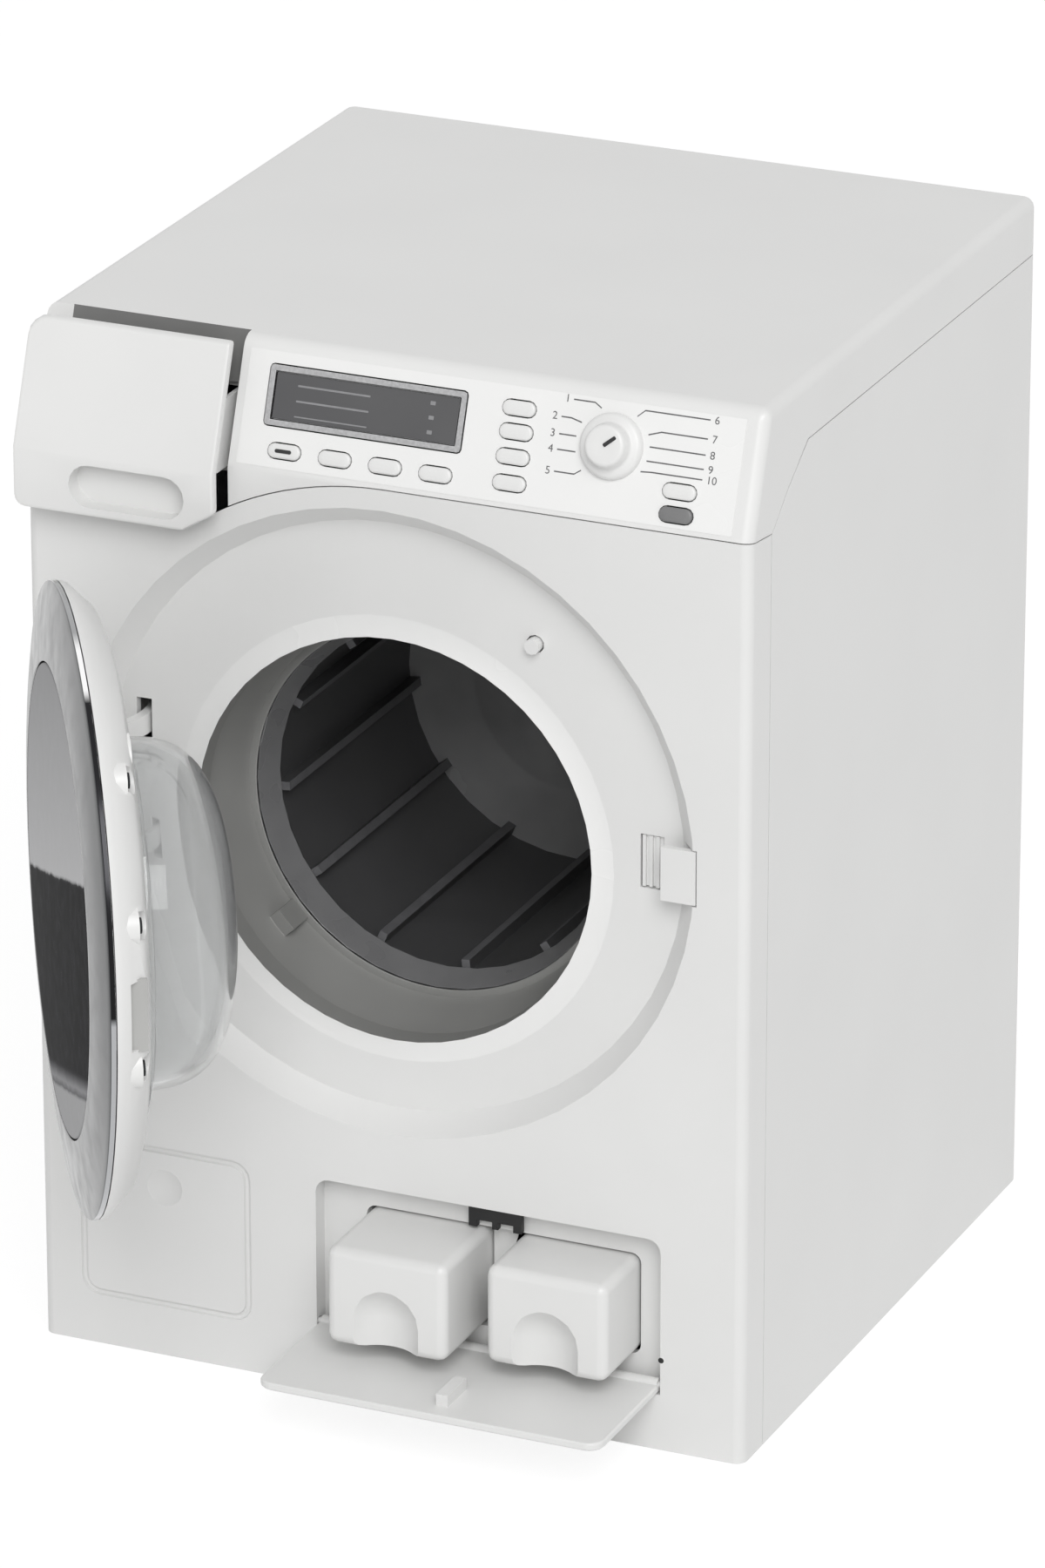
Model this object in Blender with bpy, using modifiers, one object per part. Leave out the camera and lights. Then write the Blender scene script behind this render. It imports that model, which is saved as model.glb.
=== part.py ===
"""Toy washing machine: a front loader with an open door, a drawer, a flap and two containers.

Metres, +Z up, +X right and -Y towards the user. The origin is the centre of the base.
Shapes are modelled closed, then each moving group is turned or slid to its resting place.
"""
import math

import bmesh
import bpy
from mathutils import Matrix, Vector

# Body
WIDTH = 0.185
DEPTH = 0.182
HEIGHT = 0.262
WALL = 0.0022
EDGE_RADIUS = 0.0028
GAP = 0.0003
OVERRUN = 0.006
RUNNING = 0.0004
OVERLAP = 0.0004

# Seams between the lid, the cabinet and the front panel
LID_DEPTH = 0.0145
FASCIA_DROP = 0.0293
FASCIA_SETBACK = 0.0106
PANEL_RETURN = 0.0125
CHEEK_START = 0.034
CHEEK_KNEE_BACK = 0.0221
CHEEK_KNEE_DROP = 0.0081
CHEEK_TIP_DROP = 0.0162

# Drawer and its bay
DRAWER_DROP = 0.0445
DRAWER_RIGHT = -0.040
DRAWER_THICK = 0.003
DRAWER_PULL = 0.0075
BAY_CHEEK = 0.0077
BAY_DROP = 0.0118
GRIP_X = -0.0625
GRIP_DROP = 0.0366
GRIP_WIDTH = 0.030
GRIP_HEIGHT = 0.0105
GRIP_DEPTH = 0.0045
GRIP_WALL = 0.0009
TRAY_LEFT = -0.082
TRAY_RIGHT = -0.0415
TRAY_LOW = 0.0308
TRAY_HIGH = 0.014
TRAY_LENGTH = 0.072
TRAY_WALL = 0.0014
TRAY_DIVIDER = -0.0575
HOUSING_WALL = 0.0015
HOUSING_REACH = 0.004
DRAWER_EDGE = 0.0012
DRAWER_CORNER_TOP = 0.0045
DRAWER_CORNER_LOW = 0.003

# Round recess and port
DISH_Z = 0.1485
DISH_RADIUS = 0.079
DISH_FOOT_RADIUS = 0.0742
DISH_DEPTH = 0.0058
PORT_Z = 0.143
PORT_RADIUS = 0.051
PORT_LIP_WALL = 0.0022
PORT_LIP_LENGTH = 0.0061
COLLAR_RADIUS = 0.0563
COLLAR_RISE = 0.0009

# Ring behind the port
RING_FLANGE_RADIUS = 0.062
RING_FLANGE_THICK = 0.0018
RING_WALL = 0.0018
RING_BACK_RADIUS = 0.0485
RING_BACK = 0.029
RING_TAB_WIDTH = 0.006
RING_TAB_HEIGHT = 0.0022
RING_TAB_LENGTH = 0.009
RING_TAB_TURN = math.radians(222.0)

# Drum, shaft and gears
DRUM_RADIUS = 0.047
DRUM_WALL = 0.002
DRUM_LIP_RADIUS = 0.044
DRUM_LIP_DEPTH = 0.007
DRUM_LENGTH = 0.086
RIB_COUNT = 12
RIB_TURN = math.radians(6.0)
RIB_HEIGHT = 0.003
RIB_WIDTH = 0.0022
RIB_INSET = 0.0005
HUB_RADIUS = 0.008
HUB_NOSE = 0.013
HUB_TAIL = 0.007
HUB_CROWN = 0.0035
HUB_SKIRT_RADIUS = 0.026
SHAFT_RADIUS = 0.003
SHAFT_TAIL = 0.010
GEAR_MODULE = 0.001
DRUM_TEETH = 36
PINION_TEETH = 12
GEAR_WIDTH = 0.006
GEAR_GAP = 0.003
GEAR_BACKLASH = 0.00025
GEAR_ADDENDUM = 0.0009
GEAR_DEDENDUM = 0.00125
TIP_SHARE = 0.22
PITCH_SHARE = 0.42
ROOT_SHARE = 0.60
GEAR_WEB_RADIUS = 0.0135
GEAR_WEB_DEPTH = 0.0018
GEAR_HUB_RADIUS = 0.007
BRACKET_WALL = 0.0024
BRACKET_ABOVE = 0.009
BRACKET_FOOT = 0.005
BEARING_RADIUS = 0.006
BEARING_LENGTH = 0.011
WINDOW_MARGIN = 0.006
MOTOR_RADIUS = 0.0122
MOTOR_LENGTH = 0.025
MOTOR_NOSE_RADIUS = 0.003
MOTOR_NOSE_LENGTH = 0.0022
MOTOR_BORE_RADIUS = 0.0013
MOTOR_SHAFT_RADIUS = 0.001
MOTOR_TAIL_RADIUS = 0.0045
MOTOR_TAIL_LENGTH = 0.002

# Door, closed
DOOR_RADIUS = 0.074
DOOR_FACE = 0.006
DOOR_RING_RADIUS = 0.0553
DOOR_RING_RISE = 0.0024
DOOR_RING_THICK = 0.0013
DOOR_RING_LAND = 0.0016
DOOR_WINDOW_THICK = 0.0019
DOOR_WINDOW_CROWN = 0.0008
DOOR_WALL = 0.0018
DOOR_BACK_RADIUS = 0.063
DOOR_BACK = 0.0046
SHELL_RADII = (0.0736, 0.0715, 0.068)
SHELL_BACKS = (0.0025, 0.0005, -0.003)
DOOR_SEAM = 0.0003
BOWL_FLANGE_RADIUS = 0.0485
BOWL_FLANGE_RISE = 0.0032
BOWL_RADIUS = 0.041
BOWL_DEPTH = 0.0237
BOWL_WALL = 0.0016
BOWL_ROUND = 3.0
BOWL_STEPS = 5
BOWL_Z = 0.144
DOOR_SCREW_TURNS = (math.radians(45.0), math.radians(17.0), math.radians(-12.0))
DOOR_SCREW_CIRCLE = 0.0680
DOOR_SCREW_RADIUS = 0.0019
DOOR_SCREW_LENGTH = 0.003
DOOR_NOTCH_RADIUS = 0.0034
DOOR_NOTCH_FLOOR = 0.0013
LATCH_SLOT_HALF = 0.0083
LATCH_SLOT_FRONT = 0.0009
LATCH_SLOT_BACK = 0.0027
LATCH_SLOT_X = 0.066
PIN_POCKET_RADIUS = 0.0034
PIN_POCKET_DEPTH = 0.0023
DOOR_OPEN = math.radians(56.24)

# Door hinge
HINGE_INSET_X = 0.0085
HINGE_INSET_Y = 0.007
ARM_RADIUS = 0.0188
ARM_THICK = 0.0024
ARM_HEIGHT = 0.005
ARM_OFFSET = 0.014
ARM_START = math.radians(-14.5)
ARM_END = math.radians(100.0)
ARM_STEPS = 16
KNUCKLE_RADIUS = 0.0034
HINGE_PIN_RADIUS = 0.0015
HINGE_PIN_OVER = 0.004
LUG_THICK = 0.003
LUG_RADIUS = 0.0035
SPINE_THICK = 0.0022
SPINE_DEPTH = 0.008
ARM_SLOT_LEFT = 0.0008
ARM_SLOT_RIGHT = 0.0008
ARM_SLOT_CENTRE = 0.0149
ARM_SLOT_LENGTH = 0.0108

# Door catch and sensor
CATCH_LEFT = 0.0704
CATCH_Z = 0.14825
CATCH_HEIGHT = 0.0135
CATCH_THICK = 0.0018
CATCH_LEG = 0.0017
CATCH_LEG_REACH = 0.0045
CATCH_PAD_REACH = 0.008
CATCH_CORE_X = 0.066
CATCH_CORE_WIDTH = 0.006
SENSOR_X = 0.0362
SENSOR_Z = 0.198
SENSOR_RADIUS = 0.0019
SENSOR_PROUD = 0.0023
SENSOR_FLANGE_RADIUS = 0.0030
SENSOR_FLANGE_THICK = 0.0012

# Fascia fittings: places across, places up the slope, sizes
SCREEN_X = -0.00685
SCREEN_S = 0.0182
SCREEN_WIDTH = 0.050
SCREEN_HEIGHT = 0.0142
SCREEN_BORDER = 0.0014
SCREEN_PROUD = 0.0004
SCREEN_DEPTH = 0.0034
SCREEN_RADIUS = 0.0008
PILL_WIDTH = 0.0082
PILL_HEIGHT = 0.0035
PILL_PROUD = 0.0009
PILL_FLANGE = 0.0009
PILL_FLANGE_THICK = 0.0009
PILL_TRAVEL = 0.0008
PILL_EDGE = 0.0004
PILL_STEM_RADIUS = 0.0012
PROGRAM_PLACES = ((-0.0257, 0.0054), (-0.0128, 0.0054), (0.0, 0.0054), (0.0128, 0.0054))
OPTION_PLACES = ((0.0314, 0.0059), (0.0314, 0.0120), (0.0314, 0.0178), (0.0314, 0.0233))
START_PLACE = (0.0734, 0.0097)
DOOR_PLACE = (0.0733, 0.0043)
DIAL_X = 0.0554
DIAL_S = 0.0178
DIAL_SKIRT_RADIUS = 0.0078
DIAL_SKIRT_HEIGHT = 0.002
DIAL_CAP_RADIUS = 0.0053
DIAL_CAP_TOP_RADIUS = 0.0049
DIAL_HEIGHT = 0.0055
DIAL_SHAFT_RADIUS = 0.003
DIAL_POINTER_WIDTH = 0.0008
DIAL_POINTER_TURN = math.radians(40.0)
BOARD_DEPTH = 0.0088
BOARD_THICK = 0.0015
BOARD_LEFT = -0.034
BOARD_RIGHT = 0.084
BOARD_LOW = 0.0018
BOARD_HIGH = 0.0275
BOARD_POST_RADIUS = 0.0020
BOARD_POSTS = ((-0.0315, 0.0255), (0.0245, 0.0085), (0.0805, 0.0245))
SWITCH_WIDTH = 0.011
SWITCH_SHAFT_DEPTH = 0.0022

# Lower bay, containers, flap and clip
FRAME_LEFT = -0.0188
FRAME_RIGHT = 0.0711
FRAME_LOW = 0.0144
FRAME_HIGH = 0.0546
FRAME_DEPTH = 0.005
FRAME_RADIUS = 0.0035
MOUTH_LEFT = -0.0076
MOUTH_RIGHT = 0.064
MOUTH_LOW = 0.0215
MOUTH_HIGH = 0.0478
MOUTH_RADIUS = 0.0025
BOX_WIDTH = 0.0312
BOX_LEFTS = (-0.0070, 0.0322)
BOX_LOW = 0.022
BOX_HEIGHT = 0.0252
BOX_LENGTH = 0.060
BOX_WALL = 0.0015
BOX_EDGE = 0.0025
BOX_PULLS = (0.020, 0.015)
SCOOP_WIDTH = 0.017
SCOOP_HEIGHT = 0.0160
SCOOP_DEPTH = 0.0045
RUNNER_WALL = 0.0018
FLAP_LENGTH = 0.0375
FLAP_THICK = 0.002
FLAP_SIDE_GAP = 0.0005
FLAP_RADIUS = 0.004
FLAP_AXIS_DEPTH = 0.0016
FLAP_AXIS_RISE = 0.002
FLAP_BARREL_RADIUS = 0.0016
FLAP_PIN_RADIUS = 0.0009
FLAP_PIN_LENGTH = 0.0018
FLAP_HOLE_RADIUS = 0.0012
HOOK_X = 0.0282
HOOK_WIDTH = 0.003
HOOK_START = 0.0216
HOOK_LENGTH = 0.011
HOOK_HEIGHT = 0.003
CLIP_X = 0.0269
CLIP_WIDTH = 0.0138
CLIP_HEIGHT = 0.0058
CLIP_BAR = 0.0040
CLIP_LEG = 0.0022
CLIP_PRONG = 0.0016
CLIP_THICK = 0.0016
CLIP_PEG_RADIUS = 0.0011
CLIP_PEG_LENGTH = 0.0018

# Engraved panel at the lower left
PANEL_LEFT = -0.081
PANEL_RIGHT = -0.037
PANEL_LOW = 0.0138
PANEL_HIGH = 0.0544
PANEL_RADIUS = 0.004
GROOVE_RADIUS = 0.0009
DIMPLE_X = -0.0591
DIMPLE_Z = 0.0447
DIMPLE_RADIUS = 0.0048
DIMPLE_DEPTH = 0.0016

# Base, screws and bosses
BASE_THICK = 0.0025
SCREW_INSET = 0.0062
SCREW_FRONT_BACK = 0.021
BOSS_RADIUS = 0.0044
BOSS_HEIGHT = 0.018
SCREW_RADIUS = 0.0013
SCREW_HEAD_RADIUS = 0.0029
SCREW_HEAD_HEIGHT = 0.0011
SCREW_LENGTH = 0.012
SCREW_SINK = 0.0002

# Battery box, cover and contacts
CELL_HALF = 0.0517
CELL_HEIGHT = 0.054
CELL_DEPTH = 0.028
BATTERY_WALL = 0.0018
BATTERY_LOW = 0.0065
BATTERY_LEDGE = 0.0018
DIVIDER_THICK = 0.0014
DIVIDER_DEPTH = 0.012
TAB_HALF = 0.0065
TAB_HEIGHT = 0.0095
TAB_DEPTH = 0.010
CONTACT_THICK = 0.0006
CONTACT_HEIGHT = 0.044
CONTACT_DEPTH = 0.018
CONTACT_BOW_RADIUS = 0.0022
VENT_COUNT = 7
VENT_PITCH = 0.012
VENT_WIDTH = 0.003
VENT_HEIGHT = 0.030
VENT_Z = 0.205

LARGE_SEGMENTS = 52
DRUM_SEGMENTS = 36
SMALL_SEGMENTS = 16
TINY_SEGMENTS = 10
CORNER_STEPS = 4

# Worked out from the sizes above
SIDE = WIDTH / 2
FRONT = -DEPTH / 2
BACK = DEPTH / 2
INNER_SIDE = SIDE - WALL
INNER_FRONT = FRONT + WALL
INNER_BACK = BACK - WALL
LID_Z = HEIGHT - LID_DEPTH
PANEL_TOP = HEIGHT - FASCIA_DROP
PANEL_EDGE = FRONT + PANEL_RETURN
CHEEK_TIP_Z = LID_Z - CHEEK_TIP_DROP
DRAWER_LOW = HEIGHT - DRAWER_DROP
TILT = math.atan2(FASCIA_SETBACK, FASCIA_DROP)
SEAM_TILT = math.atan2(PANEL_TOP - CHEEK_TIP_Z, PANEL_RETURN)
BAY_INSET = DRAWER_THICK + GAP
BAY_RIGHT = DRAWER_RIGHT + RUNNING
ARC_RADIUS = PANEL_TOP - DISH_Z
DISH_FLOOR = FRONT + DISH_DEPTH
DISH_BACK = DISH_FLOOR + WALL
DISH_SLOPE = (DISH_RADIUS - DISH_FOOT_RADIUS) / DISH_DEPTH
PORT_LIP_BACK = DISH_FLOOR - COLLAR_RISE + PORT_LIP_LENGTH
RING_FRONT = DISH_BACK + GAP
RING_NECK_RADIUS = PORT_RADIUS + PORT_LIP_WALL + GAP
RING_END = FRONT + RING_BACK
DRUM_FRONT = RING_END
DRUM_BACK = DRUM_FRONT + DRUM_LENGTH
SHAFT_FRONT = DRUM_BACK - HUB_NOSE + HUB_CROWN
GEAR_FRONT = DRUM_BACK + HUB_TAIL + GEAR_GAP
GEAR_BACK = GEAR_FRONT + GEAR_WIDTH
BRACKET_FRONT = GEAR_BACK + GEAR_GAP
SHAFT_BACK = BRACKET_FRONT + BRACKET_WALL + BEARING_LENGTH + SHAFT_TAIL
GEAR_DISTANCE = GEAR_MODULE * (DRUM_TEETH + PINION_TEETH) / 2 + GEAR_BACKLASH
MOTOR_Z = PORT_Z - GEAR_DISTANCE
BRACKET_HALF = MOTOR_RADIUS + RUNNING + BRACKET_WALL
BRACKET_BELOW = BRACKET_HALF
MOTOR_FRONT = BRACKET_FRONT + BRACKET_WALL + GAP
HINGE_X = -SIDE + HINGE_INSET_X
HINGE_Y = FRONT + HINGE_INSET_Y
DOOR_FRONT = FRONT - DOOR_FACE
DOOR_APEX = DOOR_FRONT - DOOR_RING_RISE
DOOR_REAR = FRONT + DOOR_BACK
MOUTH_WALL_BACK = FRONT + FRAME_DEPTH + WALL
RUNNER_FRONT = MOUTH_WALL_BACK + GAP
BOX_CLOSED = FRONT + FLAP_THICK + GAP
FLAP_Y = FRONT + FLAP_AXIS_DEPTH
FLAP_Z = FRAME_LOW + FLAP_AXIS_RISE
BATTERY_BACK = INNER_BACK - GAP
BATTERY_FRONT = BATTERY_BACK - CELL_DEPTH - BATTERY_WALL
CELL_LOW = BATTERY_LOW + BATTERY_WALL + BATTERY_LEDGE
CELL_TOP = CELL_LOW + CELL_HEIGHT
BATTERY_TOP = CELL_TOP + BATTERY_WALL + BATTERY_LEDGE
SCREW_Y = (FRONT + SCREW_FRONT_BACK, BACK - SCREW_INSET)
SCREW_X = SIDE - SCREW_INSET

for item in list(bpy.data.objects):
    bpy.data.objects.remove(item, do_unlink=True)

scene = bpy.context.scene
parts = bpy.data.collections.new("toy_washing_machine")
cutters = bpy.data.collections.new("cutters")
scene.collection.children.link(parts)
scene.collection.children.link(cutters)


def material(name, colour, roughness, metallic=0.0, transmission=0.0):
    made = bpy.data.materials.new(name)
    made.use_nodes = True
    shader = made.node_tree.nodes["Principled BSDF"]
    shader.inputs["Base Color"].default_value = (*colour, 1.0)
    shader.inputs["Roughness"].default_value = roughness
    shader.inputs["Metallic"].default_value = metallic
    shader.inputs["Transmission Weight"].default_value = transmission
    return made


LOOKS = {
    "white": ((0.80, 0.80, 0.80), 0.35, 0.0, 0.0),
    "silver": ((0.72, 0.72, 0.72), 0.25, 0.9, 0.0),
    "smoke": ((0.16, 0.16, 0.17), 0.08, 0.0, 0.5),
    "clear": ((0.75, 0.76, 0.76), 0.05, 0.0, 0.8),
    "grey": ((0.42, 0.42, 0.42), 0.25, 0.0, 0.0),
    "charcoal": ((0.05, 0.05, 0.05), 0.40, 0.0, 0.0),
    "black": ((0.02, 0.02, 0.02), 0.35, 0.0, 0.0),
    "steel": ((0.60, 0.60, 0.60), 0.30, 1.0, 0.0),
    "board": ((0.05, 0.20, 0.10), 0.50, 0.0, 0.0),
}


def piece(mesh, name, look=None, matrix=None):
    """Make an object, as a part with its own material or as a hidden cutter."""
    made = bpy.data.objects.new(name, mesh)
    made.matrix_world = matrix if matrix is not None else Matrix.Identity(4)
    if look is None:
        cutters.objects.link(made)
        made.hide_render = True
        made.display_type = "WIRE"
    else:
        parts.objects.link(made)
        mesh.materials.clear()
        mesh.materials.append(material(name, *LOOKS[look]))
    return made


def mesh_from(build, name):
    mesh = bpy.data.meshes.new(name)
    build.to_mesh(mesh)
    build.free()
    return mesh


def move(x=0.0, y=0.0, z=0.0):
    return Matrix.Translation((x, y, z))


def front_frame(x=0.0, y=0.0, z=0.0):
    """Drawn flat on the front: local Y is up and local Z comes out of the front."""
    return move(x, y, z) @ Matrix.Rotation(math.pi / 2, 4, "X")


def side_frame(x=0.0):
    """Drawn flat on the side: local X is back, local Y is up and local Z is right."""
    return move(x) @ Matrix.Rotation(math.pi / 2, 4, "Z") @ Matrix.Rotation(math.pi / 2, 4, "X")


def fascia_frame(x, s, n=0.0):
    """On the sloping fascia: s is the distance up the slope and n the height off it."""
    place = Vector((x, FRONT, PANEL_TOP))
    place += s * Vector((0.0, math.sin(TILT), math.cos(TILT)))
    place += n * Vector((0.0, -math.cos(TILT), math.sin(TILT)))
    return Matrix.Translation(place) @ Matrix.Rotation(math.pi / 2 - TILT, 4, "X")


def slope_y(z, depth):
    """Y of the plane that lies a depth behind the fascia, at a height."""
    return FRONT + (depth + (z - PANEL_TOP) * math.sin(TILT)) / math.cos(TILT)


def knee_z(depth):
    return PANEL_TOP - depth * math.tan(TILT / 2)


def box(name, low, high, look=None, matrix=None, edge=0.0):
    low, high = Vector(low), Vector(high)
    build = bmesh.new()
    bmesh.ops.create_cube(build, size=1.0)
    bmesh.ops.scale(build, vec=high - low, verts=build.verts)
    bmesh.ops.translate(build, vec=(low + high) / 2, verts=build.verts)
    made = piece(mesh_from(build, name), name, look, matrix)
    if edge:
        bevel(made, edge)
    return made


def rod(name, radius, low, high, look=None, matrix=None, segments=SMALL_SEGMENTS, top=None):
    """A cylinder, or a cone with another top radius, along local Z."""
    build = bmesh.new()
    bmesh.ops.create_cone(build, cap_ends=True, segments=segments, radius1=radius,
                          radius2=radius if top is None else top, depth=high - low)
    bmesh.ops.translate(build, vec=(0, 0, (low + high) / 2), verts=build.verts)
    made = piece(mesh_from(build, name), name, look, matrix)
    round_shading(made)
    return made


def round_shading(made):
    made.data.shade_smooth()
    made.data.set_sharp_from_angle(angle=math.radians(35.0))


def prism(name, outlines, low, high, look=None, matrix=None, edge=0.0, steps=2):
    """A flat outline, the first with the others as holes, extruded along local Z."""
    curve = bpy.data.curves.new(name, "CURVE")
    curve.dimensions = "2D"
    curve.fill_mode = "BOTH"
    curve.extrude = (high - low) / 2
    for outline in outlines:
        spline = curve.splines.new("POLY")
        spline.points.add(len(outline) - 1)
        for point, (x, y) in zip(spline.points, outline):
            point.co = (x, y, 0.0, 1.0)
        spline.use_cyclic_u = True
    flat = bpy.data.objects.new(name + "_outline", curve)
    scene.collection.objects.link(flat)
    depsgraph = bpy.context.evaluated_depsgraph_get()
    mesh = bpy.data.meshes.new_from_object(flat.evaluated_get(depsgraph))
    bpy.data.objects.remove(flat, do_unlink=True)
    build = bmesh.new()
    build.from_mesh(mesh)
    bmesh.ops.remove_doubles(build, verts=build.verts, dist=0.00001)
    bmesh.ops.dissolve_limit(build, angle_limit=math.radians(0.5), verts=build.verts,
                             edges=build.edges)
    bmesh.ops.translate(build, vec=(0, 0, (low + high) / 2), verts=build.verts)
    bmesh.ops.recalc_face_normals(build, faces=build.faces)
    build.to_mesh(mesh)
    build.free()
    made = piece(mesh, name, look, matrix)
    if edge:
        bevel(made, edge, steps)
    return made


def turned(name, profile, look=None, matrix=None, segments=LARGE_SEGMENTS, ring=False):
    """A profile of (radius, y) points turned about the local front-back axis.

    A ring's profile is a closed loop. Any other profile starts and ends on the axis.
    """
    points = [(r, -y) for r, y in profile]
    area = sum(a[0] * b[1] - b[0] * a[1] for a, b in zip(points, points[1:] + points[:1]))
    if area > 0:
        points.reverse()
    build = bmesh.new()
    verts = [build.verts.new((r, 0.0, h)) for r, h in points]
    for first, second in zip(verts, verts[1:]):
        build.edges.new((first, second))
    if ring:
        build.edges.new((verts[-1], verts[0]))
    made = piece(mesh_from(build, name), name, look, matrix)
    screw = made.modifiers.new("Turn", "SCREW")
    screw.axis = "Z"
    screw.angle = math.radians(360.0)
    screw.steps = segments
    screw.render_steps = segments
    screw.use_merge_vertices = True
    screw.merge_threshold = 0.00001
    screw.use_smooth_shade = False
    return made


def bevel(made, width, segments=2, angle=30.0):
    rounding = made.modifiers.new("Edges", "BEVEL")
    rounding.width = width
    rounding.segments = segments
    rounding.limit_method = "ANGLE"
    rounding.angle_limit = math.radians(angle)
    return made


def combine(target, tool, operation):
    step = target.modifiers.new(tool.name, "BOOLEAN")
    step.operation = operation
    step.object = tool
    step.solver = "EXACT"
    return target


def cut(target, *tools):
    for tool in tools:
        combine(target, tool, "DIFFERENCE")
    return target


def join(target, *tools):
    for tool in tools:
        combine(target, tool, "UNION")
    return target


def rounded(left, right, low, high, radius, steps=CORNER_STEPS):
    """A rectangle with round corners, counterclockwise."""
    points = []
    corners = ((right - radius, low + radius, -90.0), (right - radius, high - radius, 0.0),
               (left + radius, high - radius, 90.0), (left + radius, low + radius, 180.0))
    for x, y, start in corners:
        for step in range(steps + 1):
            angle = math.radians(start + 90.0 * step / steps)
            points.append((x + radius * math.cos(angle), y + radius * math.sin(angle)))
    return points


def round_topped(left, right, low, high, radius):
    """A rectangle whose two upper corners are round."""
    corner = 2 * CORNER_STEPS + 2
    return [(left, low), (right, low)] + rounded(left, right, low, high, radius)[CORNER_STEPS + 1:][:corner]


def stadium(x, y, width, height, steps=CORNER_STEPS):
    """A pill outline: its ends are half circles, so their shared points are left out."""
    points = []
    reach = (width - height) / 2
    for side, start in ((reach, -90.0), (-reach, 90.0)):
        for step in range(2 * steps + 1):
            angle = math.radians(start + 90.0 * step / steps)
            points.append((x + side + height / 2 * math.cos(angle), y + height / 2 * math.sin(angle)))
    return points


def circle(x, y, radius, segments=SMALL_SEGMENTS):
    return [(x + radius * math.cos(math.tau * k / segments),
             y + radius * math.sin(math.tau * k / segments)) for k in range(segments)]


def shell_walls(name, points, low, high, outward, look):
    """Open walls along plan points, thickened inwards."""
    build = bmesh.new()
    verts = [build.verts.new((x, y, low)) for x, y in points]
    edges = [build.edges.new(pair) for pair in zip(verts, verts[1:])]
    raised = bmesh.ops.extrude_edge_only(build, edges=edges)["geom"]
    bmesh.ops.translate(build, vec=(0, 0, high - low),
                        verts=[item for item in raised if isinstance(item, bmesh.types.BMVert)])
    build.normal_update()
    build.faces.ensure_lookup_table()
    middle = max(build.faces, key=lambda face: abs(face.normal.dot(Vector(outward))))
    if middle.normal.dot(Vector(outward)) < 0:
        bmesh.ops.reverse_faces(build, faces=build.faces)
    made = piece(mesh_from(build, name), name, look)
    bevel(made, EDGE_RADIUS, 4, 60.0)
    thick = made.modifiers.new("Wall", "SOLIDIFY")
    thick.thickness = WALL
    thick.offset = -1.0
    thick.use_even_offset = True
    return made


def seam_outline(drop, above):
    """Front seam as an outline in the seam's own tilted frame, closed above or below."""
    points = [(SIDE + OVERRUN, PANEL_TOP), (0.0, PANEL_TOP)]
    end = math.acos((DRAWER_LOW - DISH_Z) / ARC_RADIUS)
    count = 12
    for step in range(1, count + 1):
        angle = end * step / count
        points.append((-ARC_RADIUS * math.sin(angle), DISH_Z + ARC_RADIUS * math.cos(angle)))
    points.append((-SIDE - OVERRUN, DRAWER_LOW))
    far = HEIGHT + OVERRUN if above else DRAWER_LOW - FASCIA_DROP
    points += [(-SIDE - OVERRUN, far), (SIDE + OVERRUN, far)]
    return [(x, (z - drop - PANEL_TOP) * math.cos(SEAM_TILT)) for x, z in points]


def seam_frame():
    return move(0, FRONT, PANEL_TOP) @ Matrix.Rotation(math.pi / 2 - SEAM_TILT, 4, "X")


def cheek_line(shift):
    """The side seam from the front panel's edge to the rear, moved back and down by shift."""
    return [(PANEL_EDGE, CHEEK_TIP_Z - shift),
            (FRONT + CHEEK_KNEE_BACK + shift, LID_Z - CHEEK_KNEE_DROP - shift),
            (FRONT + CHEEK_START + shift, LID_Z - shift),
            (BACK + OVERRUN, LID_Z - shift)]


def carry(name, pivot, pieces, offset=(0.0, 0.0, 0.0), turn=0.0):
    """Hang pieces, modelled closed, and their cutters on an empty on the joint's axis."""
    empty = bpy.data.objects.new(name, None)
    empty.empty_display_size = WALL
    parts.objects.link(empty)
    empty.location = Vector(pivot) + Vector(offset)
    empty.rotation_euler = (0.0, 0.0, turn)
    waiting, seen = list(pieces), set()
    while waiting:
        made = waiting.pop()
        if made.name in seen:
            continue
        seen.add(made.name)
        made.parent = empty
        made.matrix_parent_inverse = Matrix.Translation(-Vector(pivot))
        waiting += [step.object for step in made.modifiers if step.type == "BOOLEAN"]
    return empty


# Cabinet: sides and rear in one shell
cabinet = shell_walls("cabinet", [(SIDE, PANEL_EDGE), (SIDE, BACK), (-SIDE, BACK), (-SIDE, PANEL_EDGE)],
                      0.0, LID_Z - GAP, (0, 1, 0), "white")
line = cheek_line(GAP)
above_line = [(PANEL_EDGE - OVERRUN, line[0][1]), *line[:3],
              (line[2][0], LID_Z + OVERRUN), (PANEL_EDGE - OVERRUN, LID_Z + OVERRUN)]
cut(cabinet, prism("cabinet_cheek", [above_line], -SIDE - OVERRUN, SIDE + OVERRUN,
                   matrix=side_frame()))
boss_bottom = BASE_THICK + GAP
for k, (x, y) in enumerate([(sx * SCREW_X, y) for sx in (-1, 1) for y in SCREW_Y]):
    join(cabinet, rod(f"cabinet_boss_{k}", BOSS_RADIUS, boss_bottom, boss_bottom + BOSS_HEIGHT,
                      matrix=move(x, y), segments=TINY_SEGMENTS))
    cut(cabinet, rod(f"cabinet_hole_{k}", SCREW_RADIUS + GAP, boss_bottom - OVERRUN,
                     SCREW_LENGTH + GAP + GAP, matrix=move(x, y), segments=TINY_SEGMENTS))


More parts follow.
